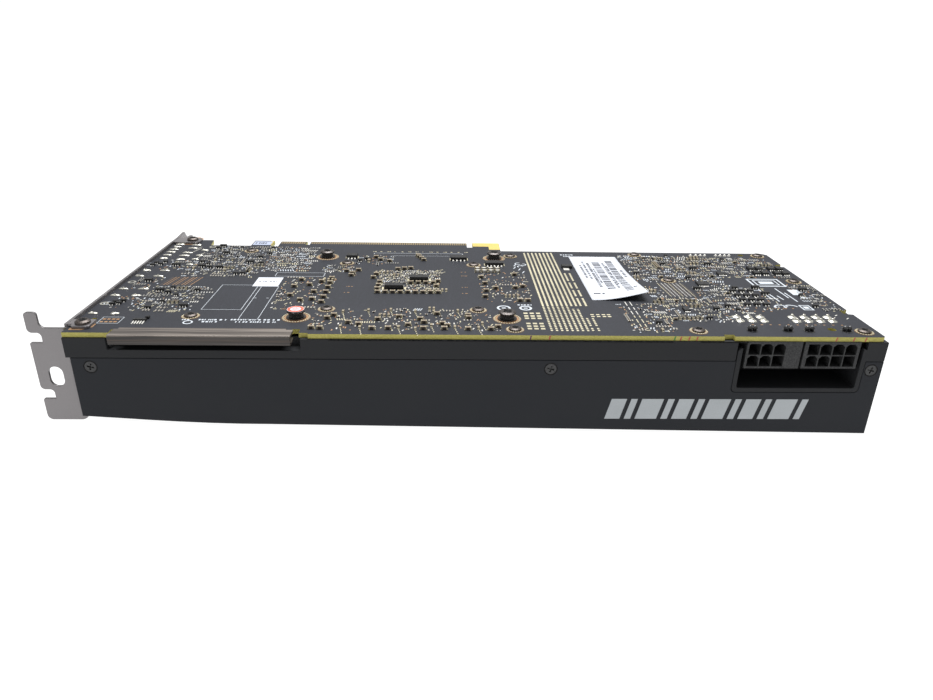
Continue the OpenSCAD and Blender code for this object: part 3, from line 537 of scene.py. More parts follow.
def studio():
    """White surroundings that the camera sees bright, one large light above, and a pale floor."""
    scene = bpy.context.scene
    scene.view_settings.view_transform = "Standard"
    world = bpy.data.worlds.new("studio")
    world.use_nodes = True
    tree = world.node_tree
    background = tree.nodes["Background"]
    background.inputs["Color"].default_value = WHITE
    seen = tree.nodes.new("ShaderNodeLightPath").outputs["Is Camera Ray"]
    strength = tree.nodes.new("ShaderNodeMapRange")
    strength.inputs["To Min"].default_value = AMBIENT
    strength.inputs["To Max"].default_value = BACKDROP
    tree.links.new(seen, strength.inputs["Value"])
    tree.links.new(strength.outputs["Result"], background.inputs["Strength"])
    scene.world = world
    area_light("top_light", (0.05, 0.3, 1.1), (0, 0.02, 0), 0.9, TOP_WATTS)
    mesh = bpy.data.meshes.new("floor")
    signs = ((-1, -1), (1, -1), (1, 1), (-1, 1))
    mesh.from_pydata([(sx * FLOOR_HALF, sy * FLOOR_HALF, 0) for sx, sy in signs], [], [[0, 1, 2, 3]])
    n = Nodes("floor_paper")
    n.shader(Base_Color=n.ramp(n.noise(40.0, 2.0), (0.3, grey(0.12)), (0.7, grey(0.13))), Roughness=0.9,
             Specular_IOR_Level=0.0, Emission_Color=WHITE, Emission_Strength=0.99)
    mesh.materials.append(n.mat)
    floor = bpy.data.objects.new("floor", mesh)
    floor.location.z = -FLOOR_DROP
    bpy.context.collection.objects.link(floor)


# ---------------------------------------------------------------- small parts on the board's back

# Footprint sizes of chip parts: length, width, height.
SIZES = {"XS": (0.62, 0.32, 0.26), "S": (1.0, 0.5, 0.42), "M": (1.5, 0.8, 0.75), "L": (2.0, 1.2, 1.1)}
# Taken ground is noted in squares of this side.
CELL = 0.25
taken = set()


def cells(x0, x1, y0, y1):
    """The squares that a rectangle touches."""
    return {(i, j) for i in range(math.floor(x0 / CELL), math.ceil(x1 / CELL))
            for j in range(math.floor(y0 / CELL), math.ceil(y1 / CELL))}


def reserve(x0, x1, y0, y1):
    """Keeps small parts out of a rectangle."""
    taken.update(cells(x0, x1, y0, y1))


def free(x, y, dx, dy):
    """Reserves a rectangle of dx by dy about x, y if nothing lies on it yet."""
    wanted = cells(x - dx / 2, x + dx / 2, y - dy / 2, y + dy / 2)
    if wanted & taken:
        return False
    taken.update(wanted)
    return True


def chip_part(b, x, y, kind, quarter, look):
    """A two-ended chip part: body, tinned ends, and the solder that wets the larger ones."""
    length, width, height = SIZES[kind]
    end = length * 0.22
    b.turned_box(x, y, length - 2 * end, width * 0.92, 0.02, height * 0.96, quarter, look)
    for side in (-1, 1):
        off = side * (length - end) / 2
        cx, cy = (x, y + off) if quarter else (x + off, y)
        b.turned_box(cx, cy, end, width, 0.02, height, quarter, "ends" if kind in ("XS", "S") else "cream")
        if kind in ("XS", "S"):
            continue
        reach, toe = length / 2, length / 2 + 0.26
        w = width * 0.46
        corners = [(reach * side, -w, 0), (reach * side, w, 0), (reach * side, w, height * 0.5),
                   (reach * side, -w, height * 0.5), (toe * side, w * 1.05, 0), (toe * side, -w * 1.05, 0)]
        placed = [(x - v, y + u, z) if quarter else (x + u, y + v, z) for u, v, z in corners]
        faces = [[3, 2, 4, 5], [0, 3, 5], [1, 4, 2], [0, 5, 4, 1], [0, 1, 2, 3]]
        b.add(placed, faces if side > 0 else flipped(faces), "joint")


def place_part(b, x, y, kind, quarter, look):
    """A chip part, if there is room for it."""
    length, width, _ = SIZES[kind]
    dx, dy = ((width, length) if quarter else (length, width))
    if free(x, y, dx + 0.2, dy + 0.2):
        chip_part(b, x, y, kind, quarter, look)


def row_of_parts(b, x0, y0, x1, y1, count, kind):
    """Evenly spaced parts from one point to another."""
    for i in range(count):
        t = i / (count - 1)
        place_part(b, x0 + (x1 - x0) * t, y0 + (y1 - y0) * t, kind, False, "brown")


def moulded(b, x0, x1, y0, y1, top):
    """A moulded chip body, whose sides lean in above and below the parting line."""
    lean = 0.06 * top + 0.03
    verts = []
    for inset, z in ((lean, 0.05), (0, top * 0.5), (lean, top)):
        verts += [(x0 + inset, y0 + inset, z), (x1 - inset, y0 + inset, z),
                  (x1 - inset, y1 - inset, z), (x0 + inset, y1 - inset, z)]
    b.add(verts, end_faces(3, 4) + band_faces(3, 4), "resin")


def legs(b, x0, x1, y, out, count, wide, reach, top):
    """Sloping legs along one long side of a chip: out is -1 towards the front, 1 towards the back."""
    side = [(0, 0), (reach, 0), (reach, 0.12), (reach * 0.7, 0.14), (reach * 0.25, top), (0, top)]
    for i in range(count):
        middle = x0 + (x1 - x0) * (i + 0.5) / count
        verts = [(x, y + out * u, z) for x in (middle - wide / 2, middle + wide / 2) for u, z in side]
        faces = flipped(end_faces(2, len(side)) + band_faces(2, len(side)))
        b.add(verts, faces if out > 0 else flipped(faces), "ends")


def legged_chip(b, x0, x1, y0, y1, top, fronts, backs, wide, rise):
    """A small moulded chip with short legs along its front and its back."""
    moulded(b, x0, x1, y0, y1, top)
    legs(b, x0, x1, y0, -1, fronts, wide, 0.45, rise)
    legs(b, x0, x1, y1, 1, backs, wide, 0.45, rise)


def small_chip(b, x, y, wide, deep, top, count):
    """A small transistor or logic chip, if there is room for it."""
    if free(x, y, wide + 0.3, deep + 1.0):
        legged_chip(b, x - wide / 2, x + wide / 2, y - deep / 2, y + deep / 2, top,
                    count, max(count - 1, 1), 0.34, top * 0.45)


def bank(b, rng, x, y, kind, body):
    """A few equal parts, or bare strokes of pad and track, side by side."""
    count = rng.choice((2, 3, 3, 4, 5, 6))
    if kind == "pads":
        length, pitch = rng.choice((1.0, 1.5, 2.1)), rng.choice((0.8, 1.0))
        slant = rng.choice((0.0, 0.35, -0.3))
        if free(x, y, count * pitch, length + 0.3):
            look = rng.choice(("ends", "ends", "silk", "pads"))
            for i in range(count):
                px = x + (i - (count - 1) / 2) * pitch
                lean = slant * length / 2
                b.bar(px - lean, y - length / 2, px + lean, y + length / 2, 0.36, 0, PAD, look)
        return
    size, pitch = rng.choice((("S", 1.0), ("S", 1.2)) if kind == "resistors" else (("S", 1.1), ("M", 1.5)))
    quarter = rng.random() < 0.8
    wide, deep = (count - 1) * pitch + 0.6, SIZES[size][0] + 0.4
    if free(x, y, *((wide, deep) if quarter else (deep, wide))):
        for i in range(count):
            step = (i - (count - 1) / 2) * pitch
            chip_part(b, x + step if quarter else x, y if quarter else y + step, size, quarter, body)


def bit(b, rng, x, y, look):
    """One bare pad, plated hole or short slanting track."""
    pick = rng.random()
    if pick < 0.45:
        if free(x, y, 0.5, 0.9):
            b.turned_box(x, y, rng.choice((0.8, 1.0, 1.3)), 0.42, 0, PAD, rng.random() < 0.7, look)
    elif pick < 0.68:
        if free(x, y, 0.7, 1.0):
            run = rng.choice((0.6, 0.9, 1.2))
            b.bar(x - run * 0.3, y - run * 0.6, x + run * 0.3, y + run * 0.6, 0.38, 0, PAD, look)
    elif free(x, y, 0.4, 0.4):
        b.disc(x, y, rng.choice((0.2, 0.26, 0.32)), 0, PAD, "ring" if pick > 0.92 else look, 6)


def designator(b, rng, x, y):
    """A few upright printed strokes, too small to be letters."""
    if free(x, y, 2.2, 1.1):
        for i in range(4):
            left = x - 1.0 + i * 0.55
            b.ink_box(left, left + 0.25, y - 0.5, y + rng.choice((0.2, 0.4, 0.5)))


def mixture(banks, parts, chips, bits, prints, kinds, sizes, bodies, looks):
    """A mix of small parts: pieces per square millimetre, tried where there is room, and their choices."""
    return {"bank": banks, "part": parts, "chip": chips, "bit": bits, "print": prints,
            "kinds": kinds.split(), "sizes": sizes.split(), "bodies": bodies.split(), "looks": looks.split()}


MIXES = {
    "signal": mixture(0.16, 0.05, 0.016, 0.42, 0.03, "pads resistors resistors capacitors", "S S M",
                      "resin resin brown", "ends silk pads"),
    "dense": mixture(0.3, 0.03, 0.0, 1.0, 0.03, "pads pads pads resistors", "XS S",
                     "resin brown", "ends silk silk ends ring"),
    "logic": mixture(0.2, 0.06, 0.006, 0.55, 0.03, "pads pads resistors capacitors", "XS S M",
                     "resin brown tan", "ends pads pads silk ring"),
    "core": mixture(0.05, 0.22, 0.0, 2.6, 0.0, "pads capacitors", "XS XS S",
                    "brown tan", "pads pads ends"),
    "memory": mixture(0.012, 0.03, 0.0, 0.22, 0.0, "pads capacitors", "XS S",
                      "brown tan", "pads ring ends pads"),
    "front": mixture(0.02, 0.06, 0.0, 0.2, 0.0, "capacitors pads", "XS S",
                     "brown tan", "pads ends ring"),
    "edge": mixture(0.05, 0.03, 0.01, 0.45, 0.02, "pads resistors", "XS S",
                    "resin", "ends pads ring silk"),
}

# Areas of the back: piece, mix, x0, x1, y0, y1.
CROWDED = [
    ("sockets", "signal", (13, 34, 19, 46)),
    ("sockets", "signal", (18, 47, 57, 80)),
    ("sockets", "edge", (5, 16, 22, 34)),
    ("sockets", "edge", (5, 14, 43, 56)),
    ("sockets", "edge", (7, 20, 66, 80)),
    ("sockets", "signal", (20, 47, 80, 101)),
    ("sockets", "dense", (47, 66, 65, 100)),
    ("sockets", "logic", (72, 84, 64, 74)),
    ("memory_side", "memory", (58.6, 79, 22, 58)),
    ("core", "core", (95.5, 119.5, 39.4, 68)),
    ("core", "edge", (84, 100, 76, 88)),
    ("front_row", "front", (76, 141, 3, 23)),
    ("right_memory", "memory", (135, 154, 31, 68)),
    ("power_side", "logic", (184, 199, 3, 30)),
    ("power_side", "logic", (199, 231, 13, 50)),
    ("power_side", "logic", (198, 232, 56, 92)),
    ("tail", "edge", (226, 245, 25, 49)),
    ("tail", "logic", (232, 262, 62, 90)),
    ("tail", "edge", (256, 265, 24, 54)),
    ("tail", "edge", (222, 234, 48, 62)),
]

# Small chips of the crowded areas: width, depth, height and legs at the front.
SMALL_CHIPS = ((1.4, 1.3, 0.95, 2), (2.0, 1.3, 1.0, 2), (2.9, 1.6, 1.1, 3))
# Small parts lie on a grid of this pitch.
GRID = 0.35


def crowded_areas(builders):
    """Fills each area with its mix, the larger kinds first."""
    rng = random.Random(448)
    for name, mix, (x0, x1, y0, y1) in CROWDED:
        b, m = builders[name], MIXES[mix]
        size = (x1 - x0) * (y1 - y0)

        def somewhere():
            return round(rng.uniform(x0, x1) / GRID) * GRID, round(rng.uniform(y0, y1) / GRID) * GRID
        for _ in range(round(size * m["chip"])):
            small_chip(b, *somewhere(), *rng.choice(SMALL_CHIPS))
        for _ in range(round(size * m["bank"])):
            bank(b, rng, *somewhere(), rng.choice(m["kinds"]), rng.choice(m["bodies"]))
        for _ in range(round(size * m["part"])):
            place_part(b, *somewhere(), rng.choice(m["sizes"]), rng.random() < 0.4, rng.choice(m["bodies"]))
        for _ in range(round(size * m["print"])):
            designator(b, rng, *somewhere())
        for _ in range(round(size * m["bit"])):
            bit(b, rng, *somewhere(), rng.choice(m["looks"]))


def reserved_ground():
    """Marks what CAD nodes and printed marks already cover."""
    for node in ("back_bulk_caps", "back_chips", "back_transistors", "power_solder", "socket_pegs",
                 "bracket_screws", "socket_solder"):
        for x0, x1, y0, y1 in islands(node):
            reserve(x0 - 0.3, x1 + 0.3, y0 - 0.9, y1 + 0.8)
    for x0, x1, y0, y1 in islands("screw_pads"):
        reserve(x0 - 0.3, x1 + 0.3, y0 - 0.3, y1 + 0.3)
    lo, hi = span("wide_label")
    reserve(lo.x - 0.6, hi.x + 0.6, lo.y - 0.6, hi.y + 0.6)
    for region in PRINTED:
        reserve(*region)


def islands(node):
    """The footprint of each separate solid of a CAD node, in board coordinates."""
    return [flat for flat, _ in islands_with_height(node)]


def islands_with_height(node):
    """The footprint and the height range of each separate solid of a CAD node."""
    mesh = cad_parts[node].data
    points = [(v.co - ORIGIN) / MM for v in mesh.vertices]
    near = {}
    for i, p in enumerate(points):
        near.setdefault((round(p.x, 3), round(p.y, 3), round(p.z, 3)), []).append(i)
    group = list(range(len(points)))

    def find(i):
        while group[i] != i:
            group[i] = group[group[i]]
            i = group[i]
        return i
    for same in near.values():
        for i in same[1:]:
            group[find(i)] = find(same[0])
    for face in mesh.polygons:
        first = find(face.vertices[0])
        for i in face.vertices[1:]:
            group[find(i)] = first
    boxes = {}
    for i, p in enumerate(points):
        box = boxes.setdefault(find(i), [p.x, p.x, p.y, p.y, p.z, p.z])
        for axis in range(3):
            box[2 * axis] = min(box[2 * axis], p[axis])
            box[2 * axis + 1] = max(box[2 * axis + 1], p[axis])
    return sorted((tuple(box[:4]), tuple(box[4:])) for box in boxes.values())


# Larger ceramic parts that stand out.
FRONT_ROW = ((81.8, 13.4), (83.7, 16.2), (89.3, 9.5), (92.9, 8), (98.9, 12.6), (105.9, 15), (109.3, 7.6),
             (113.2, 13), (114.5, 10), (120.7, 9), (122.3, 7.2), (129.4, 16.6), (129.6, 14.4), (77.9, 4.6),
             (80.7, 4.4), (97.6, 4.4), (102.9, 4.6), (114.4, 4.6), (121.3, 4.6), (129.1, 4.4), (136.6, 4.4),
             (139.1, 6.4), (118.8, 18))
UPRIGHT = ((86.4, 19.6), (95, 21), (102.7, 21.6), (111.2, 20.6), (117.6, 20.2), (126, 21), (136.8, 19.4),
           (87.2, 6), (93.6, 5.2), (106.2, 5.6), (111.8, 4.4), (117, 7.4), (124.8, 6), (132.6, 5.4),
           (134, 9.4))
RIGHT_SIDE = ((135.9, 59), (137.1, 51.4), (137.1, 42.6), (136.4, 36.2), (140.9, 45.8), (148.4, 46.5),
              (151.4, 48), (148.9, 32.2), (151.8, 32.2), (149.5, 62.6))
BEHIND = ((92.1, 85.4), (94.3, 81.8), (98.2, 79.8), (110, 88.6), (110.6, 86.6), (111.6, 84.4),
          (112.6, 81.8), (84.6, 63), (84.4, 60), (82, 65.6), (86.6, 66.8))
MEMORY_SIDE = ((66, 54), (70, 48), (73, 40), (65, 36), (69.5, 31), (74, 52), (64.6, 46), (73.6, 32))
# Rows of them round the graphics chip: first place, last place and how many.
CORE_ROWS = ((96.4, 40.2, 119, 40.2, 9), (96, 44, 96.4, 52, 3), (93.4, 57.4, 94.2, 61.6, 2),
             (108.4, 51.4, 117, 51.4, 4), (118.2, 47.5, 118.8, 53.5, 2), (102.4, 68.6, 107.6, 70, 3))


def big_parts(builders):
    """The larger ceramic parts, each in its own place."""
    front, right, core = builders["front_row"], builders["right_memory"], builders["core"]
    side = builders["memory_side"]

    def spread(b, places):
        for x, y in places:
            place_part(b, x, y, "L", False, "brown")
    spread(front, FRONT_ROW)
    for x, y in UPRIGHT:
        place_part(front, x, y, "M", True, "tan")
        for step in (1, 2, 3):
            px, py = x + 0.3 * step, y - 1.5 * step
            if free(px, py - 0.4, 0.4, 1.0):
                front.box(px - 0.14, px + 0.14, py - 0.9, py, 0, 0.04, "pads")
    spread(right, RIGHT_SIDE)
    place_part(core, 89.6, 79.6, "L", True, "brown")
    spread(core, BEHIND)
    for y in (69.6, 66.4):
        for i in range(4):
            place_part(right, 134.9 + 2.7 * i, y, "L", False, "ends")
    for row in CORE_ROWS:
        row_of_parts(core, *row, "L")
    for i in range(9):
        x, y = 117.2 + 0.9 * (i % 5), 62.6 + 0.75 * i
        core.bar(x - 0.7, y - 0.5, x + 0.9, y + 0.6, 0.32, 0, PAD, "pads")
    row_of_parts(side, 60.2, 26, 60.2, 57, 9, "M")
    row_of_parts(side, 77.4, 29, 77.4, 56, 6, "L")
    spread(side, MEMORY_SIDE)


def moulded_parts():
    """The chips and transistors of the back, with their legs."""
    b = Build("resin", "ends", "pads", "silk")
    for x0, x1, y0, y1 in islands("back_chips"):
        if x1 < 18:
            for i, (u, v) in enumerate(((0.1, 0.2), (0.62, 0.36), (0.2, 0.66), (0.75, 0.86))):
                x, y = x0 + (x1 - x0) * u, y0 + (y1 - y0) * v
                legged_chip(b, x - 0.85, x + 0.85, y - 0.65, y + 0.65, 0.95, 2, 1 + i % 2, 0.36, 0.4)
            arc_mark(b, x0 - 1.4, (y0 + y1) / 2, 1.5, 0.3, 20, 300)
        elif x1 < 30:
            moulded(b, x0 + 0.4, x1, y0 + 2.4, y1 - 0.4, 0.8)
            legs(b, x0 + 0.4, x1, y0 + 2.4, -1, 5, 0.36, 2.3, 0.3)
            moulded(b, x1 - 1.0, x1 + 0.3, y1 + 0.4, y1 + 1.6, 0.9)
        elif x0 < 200:
            moulded(b, x0, x1, y0, y1, 1.5)
            b.box(x0 - 0.4, x0 + 0.1, y0 + 0.5, y1 - 0.5, 0, 0.1, "pads")
            b.box(x1 - 0.1, x1 + 0.4, y0 + 0.5, y1 - 0.5, 0, 0.1, "pads")
            count = round((x1 - x0) / 1.6)
            legs(b, x0 + 0.3, x1 - 0.3, y0, -1, count, 0.6, 0.8, 0.5)
            legs(b, x0 + 0.3, x1 - 0.3, y1, 1, count, 0.6, 0.7, 0.5)
        else:
            moulded(b, x0 + 0.5, x1 - 0.5, y0 + 0.5, y1 - 0.5, 0.75)
            count = round((x1 - x0) / 0.75)
            legs(b, x0 + 0.6, x1 - 0.6, y0 + 0.5, -1, count, 0.26, 0.7, 0.3)
            legs(b, x0 + 0.6, x1 - 0.6, y1 - 0.5, 1, count, 0.26, 0.7, 0.3)
    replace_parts(b.piece("moulded_chips", "chip_resin"), "back_chips")
    b = Build("resin", "ends")
    for x0, x1, y0, y1 in islands("back_transistors"):
        if x0 < 200:
            moulded(b, x0, x1, y0 + 0.4, y1, 1.1)
            b.box(x0 + 0.5, x1 - 1.6, y0 - 2.4, y0 + 0.4, 0, 0.24, "ends")
        elif x1 - x0 < 3:
            moulded(b, x0, x1, y0, y1, 0.95)
            legs(b, x0, x1, y0, -1, 2, 0.42, 0.55, 0.4)
            legs(b, x0, x1, y1, 1, 1, 0.5, 0.5, 0.4)
            b.turned_box(x0 + 0.4, y1 + 1.7, 0.5, 0.9, 0, 0.3, False, "ends")
        else:
            for x in (x0 + 0.1, (x0 + x1) / 2 + 0.3):
                moulded(b, x, x + 2.6, y0 + 0.9, y1, 1.1)
                legs(b, x, x + 2.6, y0 + 0.9, -1, 3, 0.42, 0.8, 0.4)
                b.box(x + 0.4, x + 2.2, y1, y1 + 0.4, 0, 0.3, "ends")
    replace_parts(b.piece("moulded_transistors", "chip_resin"), "back_transistors")
    b = Build("resin", "ends", "pads")
    for x0, x1, y0, y1 in islands("back_bulk_caps"):
        middle = (y0 + y1) / 2
        moulded(b, x0, x1, y0, y1, 1.85)
        for side, edge in ((-1, x0), (1, x1)):
            for reach, half, top, look in ((0.1, 1.1, 1.0, "ends"), (0.9, 1.3, 0.1, "pads")):
                near, far = sorted((edge, edge + side * reach))
                b.box(near, far, middle - half, middle + half, 0, top, look)
    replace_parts(b.piece("bulk_capacitors", "chip_resin"), "back_bulk_caps")


# Bare test pads. Strips run along Y; each is a column of pads with narrow gaps.
STRIP_W = 0.72
STRIPS_AT = [156.7 + 1.72 * k for k in range(8)]
LONG_STRIPS = 6


def dotted_strips():
    """Rows of bare test pads: square dots near the front, almost joined further back."""
    b = Build("pads")

    def run(x, y0, y1):
        y = y0
        while y < y1 - 0.4:
            length, step = (1.0, 1.55) if y < 27 else (1.3, 1.45)
            b.box(x - STRIP_W / 2, x + STRIP_W / 2, y, min(y + length, y1), 0, PAD, "pads")
            y += step
    for k, x in enumerate(STRIPS_AT):
        if k < LONG_STRIPS:
            run(x, 3.8, 95.6)
        else:
            run(x, 3.8, 24.5)
            run(x, 27.4, 95.6)
    for x in (170.4, 172.4):
        for y0, y1 in ((56, 66), (47, 54), (38, 45), (27.6, 36), (8.4, 15.6), (4, 6.6)):
            run(x, y0, y1)
    for x in (149.6, 151.8, 154):
        for y in (5, 7.2, 9.6, 14.4, 16.6, 19.2):
            b.box(x - 0.72, x + 0.72, y, y + 1.3, 0, PAD, "pads")
    for x in (172.8, 174.8, 176.8, 178.6):
        for y in (16.8, 18.6):
            b.box(x - 0.6, x + 0.6, y, y + 0.8, 0, PAD, "pads")
    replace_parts(b.piece("test_pads", "gold_plating"), "test_pad_strips")


def copper_rings():
    """Bare copper round each screw, stitched round its rim with plated holes."""
    b = Build("ring", "pads", "rim")
    for x0, x1, y0, y1 in islands("screw_pads"):
        x, y, r = (x0 + x1) / 2, (y0 + y1) / 2, (x1 - x0) / 2
        wide = r > 4
        b.ring(x, y, r, 3.35 if wide else 1.3, 0, PAD, "ring", 40)
        b.ring(x, y, r - 0.14, r - 0.66, 0.05, 0.07, "rim", 40)
        for a in angles(30 if wide else 20):
            b.disc(*around(x, y, r - 0.4, a), 0.31, 0.06, 0.18, "pads", 6)
    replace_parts(b.piece("stitched_rings", "copper"), "screw_pads")


def flange_copper():
    """Bare copper lands, showing as a rim round the bracket's two flanges."""
    points = [(v.co - ORIGIN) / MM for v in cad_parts["bracket"].data.vertices]
    foot = [p for p in points if 0 <= p.z < 0.1 and p.x > 2]
    b = Build("ring")
    for group, over in (([p for p in foot if p.y < 50], 0.4), ([p for p in foot if p.y > 50], -0.4)):
        x1, y0, y1 = max(p.x for p in group) + over, min(p.y for p in group), max(p.y for p in group)
        near, far, corner = max(y0 - 0.7, 0.2), y1 + over, 2.4
        b.prism([(1.2, near), (x1 - corner, near), (x1, near + corner), (x1, far - corner),
                 (x1 - corner, far), (1.2, far)], 0, PAD, "ring")
    b.piece("flange_lands", "copper")


# The screw under the paper seal lies nearer the bracket and the front than this.
SEALED = (80, 20)


def painted_drive_shade():
    """Dark six-pointed stars in the heads of the board, bracket and cooler screws: painted shade standing for
    the drive recesses.
    """
    b = Build("dark")
    for node, r in (("board_screws", 1.45), ("bracket_screws", 1.6), ("cooler_screws", 1.7)):
        top = span(node)[1].z
        for x0, x1, y0, y1 in islands(node):
            x, y = (x0 + x1) / 2, (y0 + y1) / 2
            if node == "cooler_screws" and x < SEALED[0] and y < SEALED[1]:
                continue
            # Painted shade: a dark star just proud of each head, where the drive recess lies in shadow.
            star = [around(x, y, r * reach, a) for a, reach in zip(angles(12), (0.66, 1.0) * 6)]
            b.prism(star, top - 0.3, top + 0.015, "dark")
    b.piece("screw_drive_shade", "dark_screw")


def painted_screw_gap_shade():
    """A dark ring painted as the shade in the gap round each screw head in the casing's long faces."""
    b = Build("dark")
    sides = 28
    for (x0, x1, y0, _), (z0, z1) in islands_with_height("shroud_screws"):
        face, out = (FRONT, -1) if y0 < REAR / 2 else (REAR, 1)
        x, z, r = (x0 + x1) / 2, (z0 + z1) / 2, (x1 - x0) / 2
        # Painted shade: a thin dark ring just proud of the face, round each head.
        proud = face + out * 0.03
        profile = ((r + 0.3, face), (r + 0.3, proud), (r - 0.05, proud), (r - 0.05, face))
        verts = [(x + radius * math.cos(a), y, z + radius * math.sin(a))
                 for radius, y in profile for a in angles(sides)]
        faces = band_faces(len(profile), sides, True)
        b.add(verts, faces if out > 0 else flipped(faces), "dark")
    b.piece("screw_gap_shade", "dark_screw")


def lobed(b, x, y, profile, rng, amount):
    """A lathed mound of solder whose outline wavers a little."""
    turn = rng.uniform(0, 6.28)
    b.lathe(x, y, profile, "solder", 20, lambda a: 1 + amount * (math.sin(3 * a + turn) + math.sin(5 * a)))


def solder_joints():
    """Solder drawn up round each power pin, and low mounds on the legs of the display sockets."""
    rng = random.Random(7)
    b = Build("solder", "rim")
    for x0, x1, y0, y1 in islands("power_solder"):
        x, y = (x0 + x1) / 2, (y0 + y1) / 2
        tall = 0.95 if x < 238 else 1.2
        profile = [(1.62, 0), (1.5, 0.1), (1.15, 0.24), (0.75, 0.45), (0.5, 0.7 * tall), (0.38, tall)]
        lobed(b, x, y, profile, rng, 0.03)
        b.box(x - 0.22, x + 0.22, y - 0.22, y + 0.22, tall - 0.1, tall + 0.06, "rim")
    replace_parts(b.piece("power_joints", "solder"), "power_solder")
    b = Build("solder")
    for x0, x1, y0, y1 in islands("socket_solder"):
        x, y, half = (x0 + x1) / 2, (y0 + y1) / 2, (x1 - x0) / 2
        mound(b, x, y, half + 0.25, 1.25, 0.5, rng)
        if 30 < y < 70:
            b.turned_box(x, y, 0.5, 0.5, 0.3, 0.75, False, "solder")
        if rng.random() < 0.5:
            mound(b, x + rng.choice((-1, 1)) * half * 0.5, y + 0.7, 0.8, 0.7, 0.45, rng)
    for x, y in ((13.4, 98), (13.9, 95.6), (13, 92.8), (17.4, 89), (17.9, 85.6), (17, 82)):
        b.bar(x - 0.6, y - 1.5, x + 0.5, y + 1.3, 0.55, 0, 0.12, "solder")
    for x, y in ((2.6, 50), (2.3, 26.4), (18.6, 99.4)):
        b.ring(x, y, 1.5, 0.85, 0, 0.14, "solder")
    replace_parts(b.piece("socket_joints", "solder"), "socket_solder")


def mound(b, x, y, half_x, half_y, height, rng):
    """A low uneven mound of solder, drawn to points at its sides."""
    rings, sides = 5, 20
    skew, lobes = rng.uniform(-0.3, 0.3), rng.choice((2, 2, 3))
    verts = []
    for k in range(rings + 1):
        t = k / rings
        r = math.cos(t * math.pi / 2) ** 0.9
        for a in angles(sides):
            out = r * (0.78 + 0.22 * math.cos(lobes * a + skew))
            verts.append((x + half_x * out * math.cos(a) + skew * t, y + half_y * out * math.sin(a),
                          height * math.sin(t * math.pi / 2)))
    b.add(verts, band_faces(rings + 1, sides) + end_faces(rings + 1, sides), "solder", True)


def split_pegs():
    """Snap-in pegs of the power sockets: two barbed halves with a gap between them."""
    b = Build("peg")
    profile = [(0.62, 0), (0.66, 0.6), (0.92, 0.95), (0.88, 1.15), (0.62, 1.55), (0.34, 1.9)]
    for x0, x1, y0, y1 in islands("socket_pegs"):
        x, y = (x0 + x1) / 2, (y0 + y1) / 2
        for side in (-1, 1):
            b.lathe(x + side * 0.78, y, profile, "peg", 18)
        b.ring(x, y, 1.9, 1.5, 0, 0.12, "peg")
    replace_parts(b.piece("split_pegs", "black_plastic"), "socket_pegs")


# ---------------------------------------------------------------- printed marks

def frame_line(b, x0, x1, y0, y1, width=0.17):
    """A printed rectangle."""
    half = width / 2
    for y in (y0, y1):
        b.ink_box(x0 - half, x1 + half, y - half, y + half)
    for x in (x0, x1):
        b.ink_box(x - half, x + half, y0 + half, y1 - half)


def dashes(b, rng, x, y, length, height, look="silk", along="X", z=0.0):
    """A row of short marks of uneven width, standing for small print with nothing to read."""
    done = 0
    while done < length:
        wide = rng.choice((0.5, 0.8, 1.1))
        if along == "X":
            b.box(x + done, x + done + wide * 0.75, y, y + height, z, z + INK, look)
        else:
            b.box(x, x + height, y - done - wide * 0.75, y - done, z, z + INK, look)
        done += wide + rng.choice((0.15, 0.15, 0.7))


def arc_mark(b, x, y, r, width, a0, a1, look="silk"):
    """A printed arc from angle a0 to a1, in degrees; 360 apart closes it into a ring."""
    if a1 - a0 >= 360:
        b.ring(x, y, r + width / 2, r - width / 2, 0, INK, look)
        return
    steps = 12
    turns = [math.radians(a0 + (a1 - a0) * i / steps) for i in range(steps + 1)]
    outline = [around(x, y, r + width / 2, a) for a in turns]
    outline += [around(x, y, r - width / 2, a) for a in reversed(turns)]
    count = 2 * (steps + 1)
    verts = [(px, py, z) for z in (0, INK) for px, py in outline]
    faces = band_faces(2, count)
    for i in range(steps):
        quad = [i, i + 1, count - 2 - i, count - 1 - i]
        faces += [quad[::-1], [count + q for q in quad]]
    b.add(verts, faces, look)


